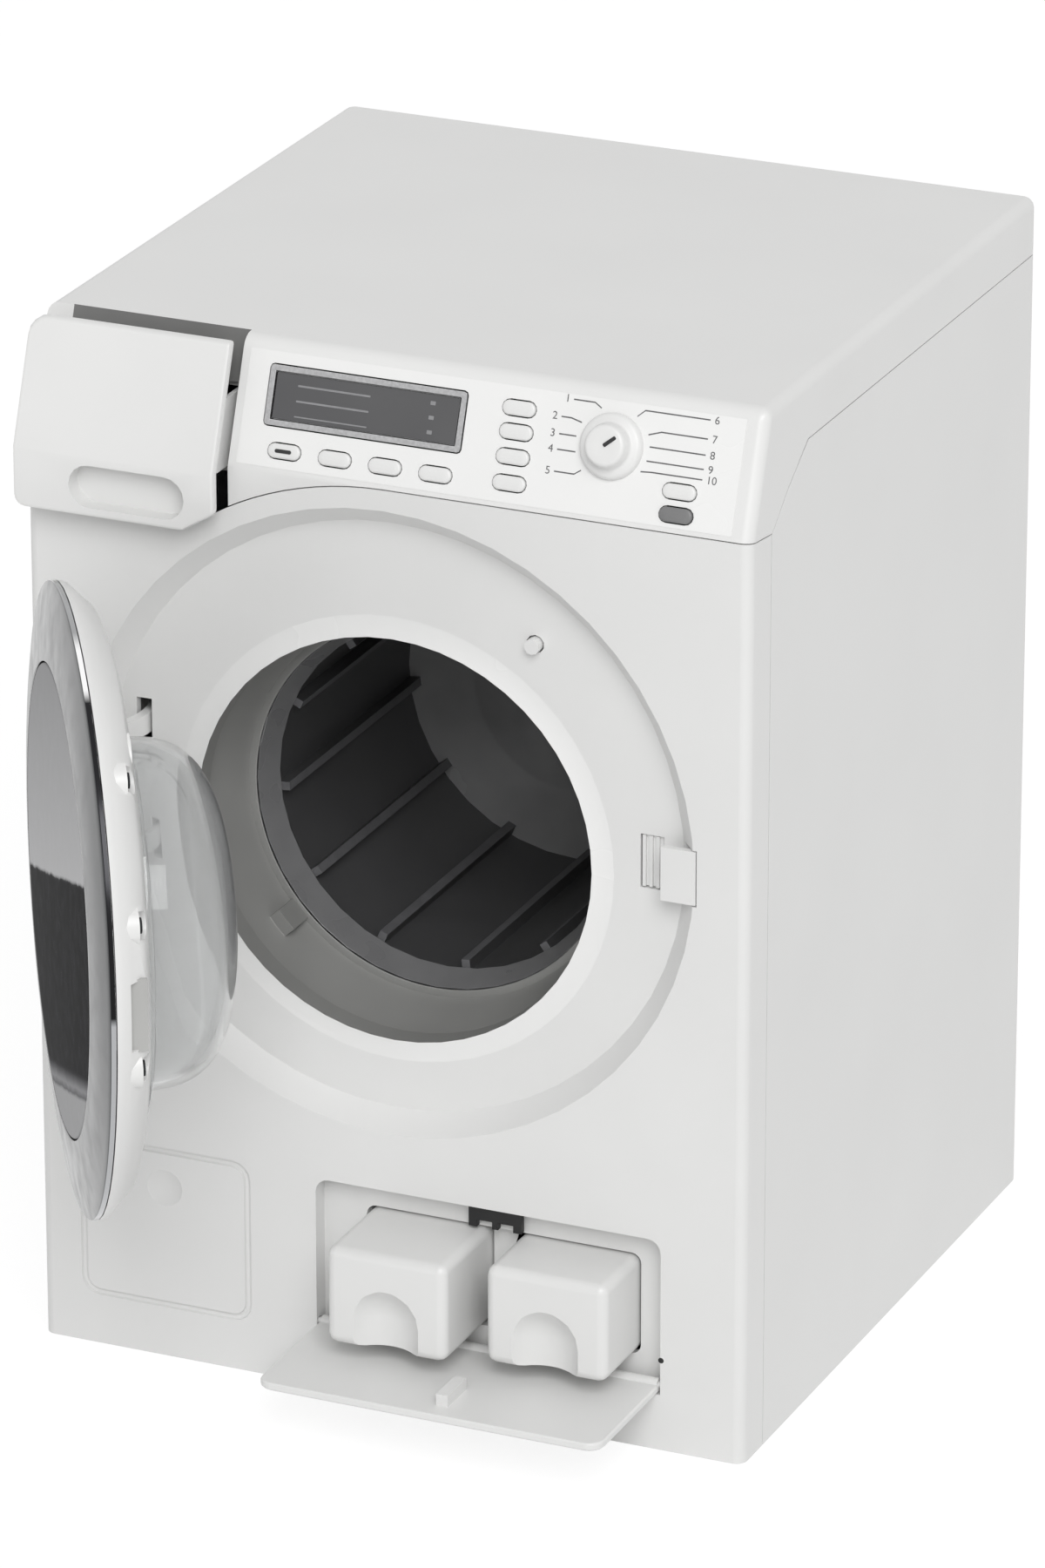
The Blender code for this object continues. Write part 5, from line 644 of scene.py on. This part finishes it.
def doorBowl():
    def dome(radius, depth, seat, steps=18):
        points = []
        for k in range(steps + 1):
            t = math.pi / 2 * k / steps
            points.append((radius * math.cos(t) ** (2 / bowl["power"]) if k < steps else 0.0,
                           seat - depth * math.sin(t) ** (2 / bowl["power"])))
        return points
    outer = dome(bowl["radius"], bowl["depth"], bowl["top"])
    inner = dome(bowl["radius"] - bowl["wall"], bowl["depth"] - bowl["wall"], bowl["top"])
    outline = list(reversed(inner)) + [(bowl["radius"] - bowl["wall"], bowl["low"]), (bowl["flange"], bowl["low"]),
                                       (bowl["flange"], bowl["top"] + 0.5), (bowl["flange"] - 0.15, bowl["top"] + 0.15),
                                       (bowl["flange"] - 0.5, bowl["top"]), (bowl["radius"] + 1.2, bowl["top"]),
                                       (bowl["radius"] + 0.35, bowl["top"] - 0.35)] + outer[1:]
    return turnPiece("doorBowl", outline, 128)


doorAxis = Vector((math.sin(doorSwing), -math.cos(doorSwing), 0))
doorSideways = Vector((0, 0, 1)).cross(doorAxis)


def onRingSidePaintedReflection(face):  # the narrow side all round, which faces straight away from the door's middle and gets the painted reflection
    spokes = [v.co - Vector(doorway["middle"]) * mm for v in face.verts]
    return (abs(face.normal.dot(doorAxis)) < 0.4
            and min(math.hypot(spoke.z, spoke.dot(doorSideways)) for spoke in spokes) > ring["sideFrom"] * mm)


for make, centre, finish, slot, node in (
        (doorRing, doorway["axisZ"], ringSilver, "silver_trim", "door_ring"),
        (doorWindow, doorway["axisZ"], smokedStyrenePaintedReflection, "smoked_plastic", "door_window"),
        (doorBowl, doorway["bowlZ"], bowlClear, "clear_plastic", "door_bowl")):
    part = make()
    ontoDoor(part, centre)
    part.data.materials.append(finish)
    if make is doorRing:
        # painted reflection and highlight on the ring's narrow side
        paintFaces(part, ringSidePaintedReflection, onRingSidePaintedReflection)
    roundEdges(part, 0.0, angle=32)
    settle(part, "door", slot, node)

doorPieces = {
    "door_shell": ("doorShell", whiteAbs, "white_plastic", 0.3),
    "door_screw_1": ("doorScrew1", phosphatedSteel, "steel", 0.12),
    "door_screw_2": ("doorScrew2", phosphatedSteel, "steel", 0.12),
    "door_screw_3": ("doorScrew3", phosphatedSteel, "steel", 0.12),
}
for node, (name, finish, slot, edge) in doorPieces.items():
    part = fromNode(node, name)
    roundEdges(part, edge)
    dress(part, finish, "door", slot, node)
# A grey lining closes the latch slot, deeper in than the catch's tongue comes; its grey is painted shade for the inside
# of the slot
lining = {"low": (68.6, -92.3, 139.7), "high": (69.8, -87.9, 157.3), "rim": 0.9, "dip": 0.35}
slotLining = block("latchSlotLining", lining["low"], lining["high"])
bpy.ops.mesh.select_all(action="DESELECT")
pick(slotLining, "faces", lambda f: f.normal.x > 0.9)
bpy.ops.mesh.inset(thickness=lining["rim"] * mm, depth=-lining["dip"] * mm)
clearSelection()
swingOpen(slotLining)
roundEdges(slotLining, 0.1)
dress(slotLining, paleShadeGrey, "door", "grey_plastic")
print("washer: door made")

slidingPieces = {
    "drawer_front": ("drawerFront", whiteAbs, "white_plastic", 0.5, "drawer"),
    "drawer_tray": ("drawerTray", whiteAbs, "white_plastic", 0.3, "drawer"),
    "container_left": ("containerLeft", whiteAbs, "white_plastic", 0.7, "left_container"),
    "container_right": ("containerRight", whiteAbs, "white_plastic", 0.7, "right_container"),
    "flap": ("bayFlap", whiteAbs, "white_plastic", 0.35, "flap_unit"),
    "door_sensor_pin": ("sensorPin", whiteAbs, "white_plastic", 0.4, "sensor"),
}
for node, (name, finish, slot, edge, body) in slidingPieces.items():
    part = fromNode(node, name)
    roundEdges(part, edge)
    dress(part, finish, body, slot, node)
print("washer: drawer, containers and flap dressed")

screen = fromNode("display_window", "screenGlass")
roundEdges(screen, 0.1)
dress(screen, screenLens, "body", "smoked_plastic", "display_window")
screenRim = fromNode("display_bezel", "screenRim")
roundEdges(screenRim, 0.12)
dress(screenRim, rimSilver, "body", "silver_trim", "display_bezel")

key = {"width": 8.2, "height": 3.5, "top": 0.9, "foot": -1.6, "round": 0.5, "crown": 0.1,
       "rowX": (-25.7, -12.8, 0.0, 12.8), "rowS": 5.4, "columnX": 31.4, "columnS": (5.9, 12.0, 17.8, 23.3)}


def modelKey():
    part = freshPrimitive("keyPattern", bpy.ops.mesh.primitive_cylinder_add, vertices=40, radius=key["height"] / 2 * mm,
                          depth=(key["top"] - key["foot"]) * mm, end_fill_type="NGON",
                          location=(0, 0, (key["top"] + key["foot"]) / 2 * mm))
    putMesh(part, place=tuple(part.location))
    startEdit(part)
    pick(part, "verts", lambda v: v.co.x >= 0)
    bpy.ops.transform.translate(value=((key["width"] - key["height"]) / 2 * mm, 0, 0))
    bpy.ops.mesh.select_all(action="INVERT")
    bpy.ops.transform.translate(value=(-(key["width"] - key["height"]) / 2 * mm, 0, 0))
    bpy.ops.mesh.select_mode(type="FACE")
    bpy.ops.mesh.select_all(action="DESELECT")
    pick(part, "faces", lambda f: f.normal.z > 0.9)
    bpy.ops.mesh.bevel(offset=key["round"] * mm, segments=4, affect="EDGES")
    bpy.ops.mesh.select_all(action="DESELECT")
    pick(part, "faces", lambda f: f.normal.z > 0.99 and len(f.verts) > 12)
    bpy.ops.mesh.inset(thickness=0.55 * mm, depth=key["crown"] * 0.7 * mm)
    bpy.ops.mesh.inset(thickness=0.35 * mm, depth=key["crown"] * 0.3 * mm)
    clearSelection()
    return part


pattern = modelKey()
keyPlaces = {f"program_button_{k + 1}": (f"programKey{k + 1}", x, key["rowS"], f"program_key_{k + 1}", whiteAbs)
             for k, x in enumerate(key["rowX"])}
keyPlaces.update({f"option_button_{k + 1}": (f"optionKey{k + 1}", key["columnX"], s, f"option_key_{k + 1}", whiteAbs)
                  for k, s in enumerate(key["columnS"])})
keyPlaces["start_button"] = ("startKey", 73.4, 9.7, "start_key", whiteAbs)
keyPlaces["door_button"] = ("doorKey", 73.3, 4.3, "door_key", keyGrey)
for node, (name, x, s, body, finish) in keyPlaces.items():
    part = pattern.copy()
    part.data = pattern.data.copy()
    part.name = part.data.name = name
    bpy.context.scene.collection.objects.link(part)
    ontoFascia(part, x, s, 0.0)
    roundEdges(part, 0.0)
    dress(part, finish, body, "grey_plastic" if node == "door_button" else "white_plastic", node)
bpy.data.objects.remove(pattern)

dial = {"skirt": 7.8, "skirtTop": 2.0, "cap": 5.3, "capTop": 4.9, "top": 5.5, "x": 55.4, "s": 17.8, "turn": 40.0}
knob = turnPiece("dialKnob", [(0, -1.6), (dial["skirt"] - 0.3, -1.6), (dial["skirt"], 0.0),
                              (dial["skirt"] - 0.05, 0.9), (dial["skirt"] - 0.35, 1.6),
                              (dial["skirt"] - 1.0, dial["skirtTop"]), (dial["cap"] + 0.5, dial["skirtTop"] + 0.1),
                              (dial["cap"] + 0.15, dial["skirtTop"] + 0.35), (dial["cap"], dial["skirtTop"] + 0.9),
                              (dial["capTop"] + 0.06, dial["top"] - 0.9), (dial["capTop"] - 0.1, dial["top"] - 0.4),
                              (dial["capTop"] - 0.45, dial["top"] - 0.1), (dial["capTop"] - 0.9, dial["top"]),
                              (2.2, dial["top"] - 0.12), (0, dial["top"] - 0.16)], 96)
ontoFascia(knob, dial["x"], dial["s"], 0.0)
roundEdges(knob, 0.0, angle=40)
dress(knob, whiteAbs, "dial", "white_plastic", "dial_knob")


def bar(name, length, width, thick, edge=0.12):  # a small rounded bar along X, standing on its foot
    part = freshPrimitive(name, bpy.ops.mesh.primitive_cube_add, size=mm)
    startEdit(part)
    bpy.ops.mesh.select_all(action="SELECT")
    bpy.ops.transform.resize(value=(length, width, thick), center_override=(0, 0, 0))
    bpy.ops.transform.translate(value=(0, 0, thick / 2 * mm))
    bpy.ops.mesh.select_mode(type="EDGE")
    bpy.ops.mesh.select_all(action="DESELECT")
    pick(part, "edges", lambda e: abs(e.verts[0].co.z - e.verts[1].co.z) > thick / 2 * mm)
    bpy.ops.mesh.bevel(offset=edge * mm, segments=3, affect="EDGES")
    clearSelection()
    return part


hand = {"length": 3.6, "width": 0.9, "thick": 0.2, "edge": 0.3, "out": 1.7, "sunk": 0.16}
turn = math.radians(dial["turn"])
pointer = bar("dialPointer", hand["length"], hand["width"], hand["thick"], hand["edge"])
ontoFascia(pointer, dial["x"] + hand["out"] * math.cos(turn), dial["s"] + hand["out"] * math.sin(turn),
           dial["top"] - hand["sunk"], turn)
roundEdges(pointer, 0.05)
dress(pointer, blackNylonAndHoleShade, "dial", "black_plastic")

slotMark = bar("programKeySlot", 4.2, 0.9, 0.12, 0.4)
ontoFascia(slotMark, key["rowX"][0], key["rowS"], key["top"] + key["crown"] - 0.02)
roundEdges(slotMark, 0.03)
dress(slotMark, blackNylonAndHoleShade, "program_key_1", "black_plastic")

# Lines on the screen, each at its height up the slope: three bars to the left, three small marks to the right
glass = {"barX": -15.3, "barLength": 18.5, "markX": 9.8, "markLength": 1.3, "thick": 0.06, "sunk": 0.02}
glassTop = fasciaHeight("display_window")
screenLines = {"screenBarUpper": (21.0, 0.45), "screenBarLower": (17.4, 0.45), "screenBarFoot": (13.8, 0.3),
               "screenMarkUpper": (21.6, 0.9), "screenMarkMiddle": (18.2, 0.9), "screenMarkLower": (14.8, 0.9)}
for name, (s, width) in screenLines.items():
    kind = "bar" if "Bar" in name else "mark"
    part = bar(name, glass[kind + "Length"], width, glass["thick"])
    ontoFascia(part, glass[kind + "X"], s, glassTop - glass["sunk"])
    roundEdges(part, 0.0)
    dress(part, segmentInk, "body", "silver_trim")

# Leader lines round the dial: each starts as a short strip and is drawn on by its end edge
inkTop = field["rise"] + 0.03
leaders = {"Right1": [(60.6, 25.4), (62.4, 27.0), (66.0, 27.0), (78.5, 27.0)],
           "Right2": [(63.9, 21.6), (67.0, 22.6), (78.5, 22.6)],
           "Right3": [(64.6, 18.9), (78.5, 18.9)], "Right4": [(64.3, 15.6), (78.5, 15.6)],
           "Right5": [(63.2, 13.0), (66.0, 13.2), (78.5, 13.2)],
           "Left1": [(51.6, 26.1), (49.8, 27.2), (44.5, 27.2)], "Left2": [(47.2, 22.2), (44.5, 22.9), (42.0, 22.9)],
           "Left3": [(46.3, 18.9), (42.0, 18.9)], "Left4": [(46.6, 15.3), (42.0, 15.3)],
           "Left5": [(48.6, 11.3), (47.0, 10.2), (42.0, 10.2)]}
line = {"width": 0.32, "thick": 0.03, "figures": 2.6}
for name, points in leaders.items():
    part = freshPrimitive("leader" + name, bpy.ops.mesh.primitive_plane_add, size=line["width"] * mm)
    startEdit(part)
    side = 1 if points[1][0] > points[0][0] else -1
    half = line["width"] / 2
    pick(part, "verts", lambda v: v.co.x * side < 0)
    bpy.ops.transform.translate(value=((points[0][0] + side * half) * mm, points[0][1] * mm, 0))
    bpy.ops.mesh.select_all(action="INVERT")
    bpy.ops.transform.translate(value=((points[1][0] - side * half) * mm, points[1][1] * mm, 0))
    for (x0, s0), (x1, s1) in zip(points[1:], points[2:]):
        bpy.ops.mesh.extrude_region_move(
            TRANSFORM_OT_translate={"value": ((x1 - x0) * mm, (s1 - s0) * mm, 0)})
    bpy.ops.mesh.select_all(action="SELECT")
    bpy.ops.mesh.normals_make_consistent(inside=False)
    bpy.ops.mesh.extrude_region_move(TRANSFORM_OT_translate={"value": (0, 0, line["thick"] * mm)})
    bpy.ops.mesh.select_all(action="SELECT")
    bpy.ops.mesh.normals_make_consistent(inside=False)
    clearSelection()
    ontoFascia(part, 0, 0, inkTop - line["thick"])
    roundEdges(part, 0.0)
    dress(part, panelInk, "body", "black_plastic")

# Plain numbers at the ends of the lines
numbers = {"1": (43.0, 27.2), "2": (40.4, 22.9), "3": (40.4, 18.9), "4": (40.4, 15.3), "5": (40.4, 10.2),
           "6": (80.2, 27.0), "7": (80.2, 22.6), "8": (80.2, 18.9), "9": (80.2, 15.6), "10": (80.8, 13.2)}
for text, (x, s) in numbers.items():
    clearSelection()
    bpy.ops.object.text_add(location=(0, 0, 0))
    part = bpy.context.object
    part.data.body = text
    part.data.size = line["figures"] * mm
    part.data.align_x = "CENTER"
    part.data.align_y = "CENTER"
    part.data.extrude = line["thick"] / 2 * mm
    bpy.ops.object.convert(target="MESH")
    part.name = part.data.name = "dialNumber" + text
    ontoFascia(part, x, s, inkTop - line["thick"] / 2)
    roundEdges(part, 0.0)
    dress(part, panelInk, "body", "black_plastic")
print("washer: control field done")

studio = {"ambient": 0.52, "keyPower": 136.0, "keySize": 2.6, "keyAzimuth": 29.0, "keyElevation": 39.0,
          "keyDistance": 5.0, "keyAim": (0, 0, 0.14), "floorSize": 9.0, "floorDrop": 0.0001}


def seenRays(tree):  # 1 for what the camera sees, also in a mirror or through the bowl
    rays = addNode(tree, "ShaderNodeLightPath")
    seen = addNode(tree, "ShaderNodeMath", {"operation": "MAXIMUM"},
                   {0: rays.outputs["Is Camera Ray"], 1: rays.outputs["Is Glossy Ray"]})
    return addNode(tree, "ShaderNodeMath", {"operation": "MAXIMUM"},
                   {0: seen.outputs["Value"], 1: rays.outputs["Is Transmission Ray"]}).outputs["Value"]


clearSelection()
bpy.ops.mesh.primitive_plane_add(size=studio["floorSize"], location=(0, 0, -studio["floorDrop"]))
floor = bpy.context.object
floor.name = "studioFloor"
paper, tree = newMaterial("whitePaperFloor")
seenAll = seenRays(tree)
matt = addNode(tree, "ShaderNodeBsdfDiffuse", {"Color": linearColour("#F6F6F6")})
dim = addNode(tree, "ShaderNodeBsdfDiffuse", {"Color": linearColour("#848484")})  # so much of the shadow shows
glow = addNode(tree, "ShaderNodeEmission", {"Color": linearColour("#ECECEC"), "Strength": 1.0})
shown = addNode(tree, "ShaderNodeAddShader", links={0: dim.outputs["BSDF"], 1: glow.outputs["Emission"]})
blend = addNode(tree, "ShaderNodeMixShader", links={0: seenAll, 1: matt.outputs["BSDF"],
                                                    2: shown.outputs["Shader"]})
addNode(tree, "ShaderNodeOutputMaterial", links={"Surface": blend.outputs["Shader"]})
floor.data.materials.append(paper)

world = bpy.data.worlds.new("studioWorld")
bpy.context.scene.world = world
world.use_nodes = True
tree = world.node_tree
tree.nodes.clear()
level = addNode(tree, "ShaderNodeMapRange", {"To Min": studio["ambient"], "To Max": 1.0}, {"Value": seenRays(tree)})
sky = addNode(tree, "ShaderNodeBackground", {"Color": (1, 1, 1, 1)}, {"Strength": level.outputs["Result"]})
addNode(tree, "ShaderNodeOutputWorld", links={"Surface": sky.outputs["Background"]})


def aimed(azimuth, elevation, distance, target):
    a, e = math.radians(azimuth), math.radians(elevation)
    away = Vector((math.sin(a) * math.cos(e), -math.cos(a) * math.cos(e), math.sin(e)))
    return Vector(target) + away * distance, away.to_track_quat("Z", "Y")


clearSelection()
bpy.ops.object.light_add(type="AREA")
softbox = bpy.context.object
softbox.name = "frontSoftbox"
softbox.data.shape = "SQUARE"
softbox.data.size = studio["keySize"]
softbox.data.energy = studio["keyPower"]
softbox.rotation_mode = "QUATERNION"
softbox.location, softbox.rotation_quaternion = aimed(studio["keyAzimuth"], studio["keyElevation"],
                                                     studio["keyDistance"], studio["keyAim"])

clearSelection()
bpy.ops.object.camera_add()
camera = bpy.context.object
camera.name = "photoCamera"
camera.data.lens = shot["lens"]
camera.data.sensor_width = 36.0
camera.data.sensor_fit = "AUTO"
camera.data.clip_end = 30.0
camera.rotation_mode = "QUATERNION"
eye, looking = aimed(shot["azimuth"], shot["elevation"], shot["distance"], shot["target"])
camera.location = eye
camera.rotation_quaternion = looking @ Matrix.Rotation(math.radians(shot["roll"]), 4, "Z").to_quaternion()
bpy.context.scene.camera = camera
bpy.context.scene.view_settings.view_transform = "Standard"
clearSelection()
print("washer: stage, light and camera set")
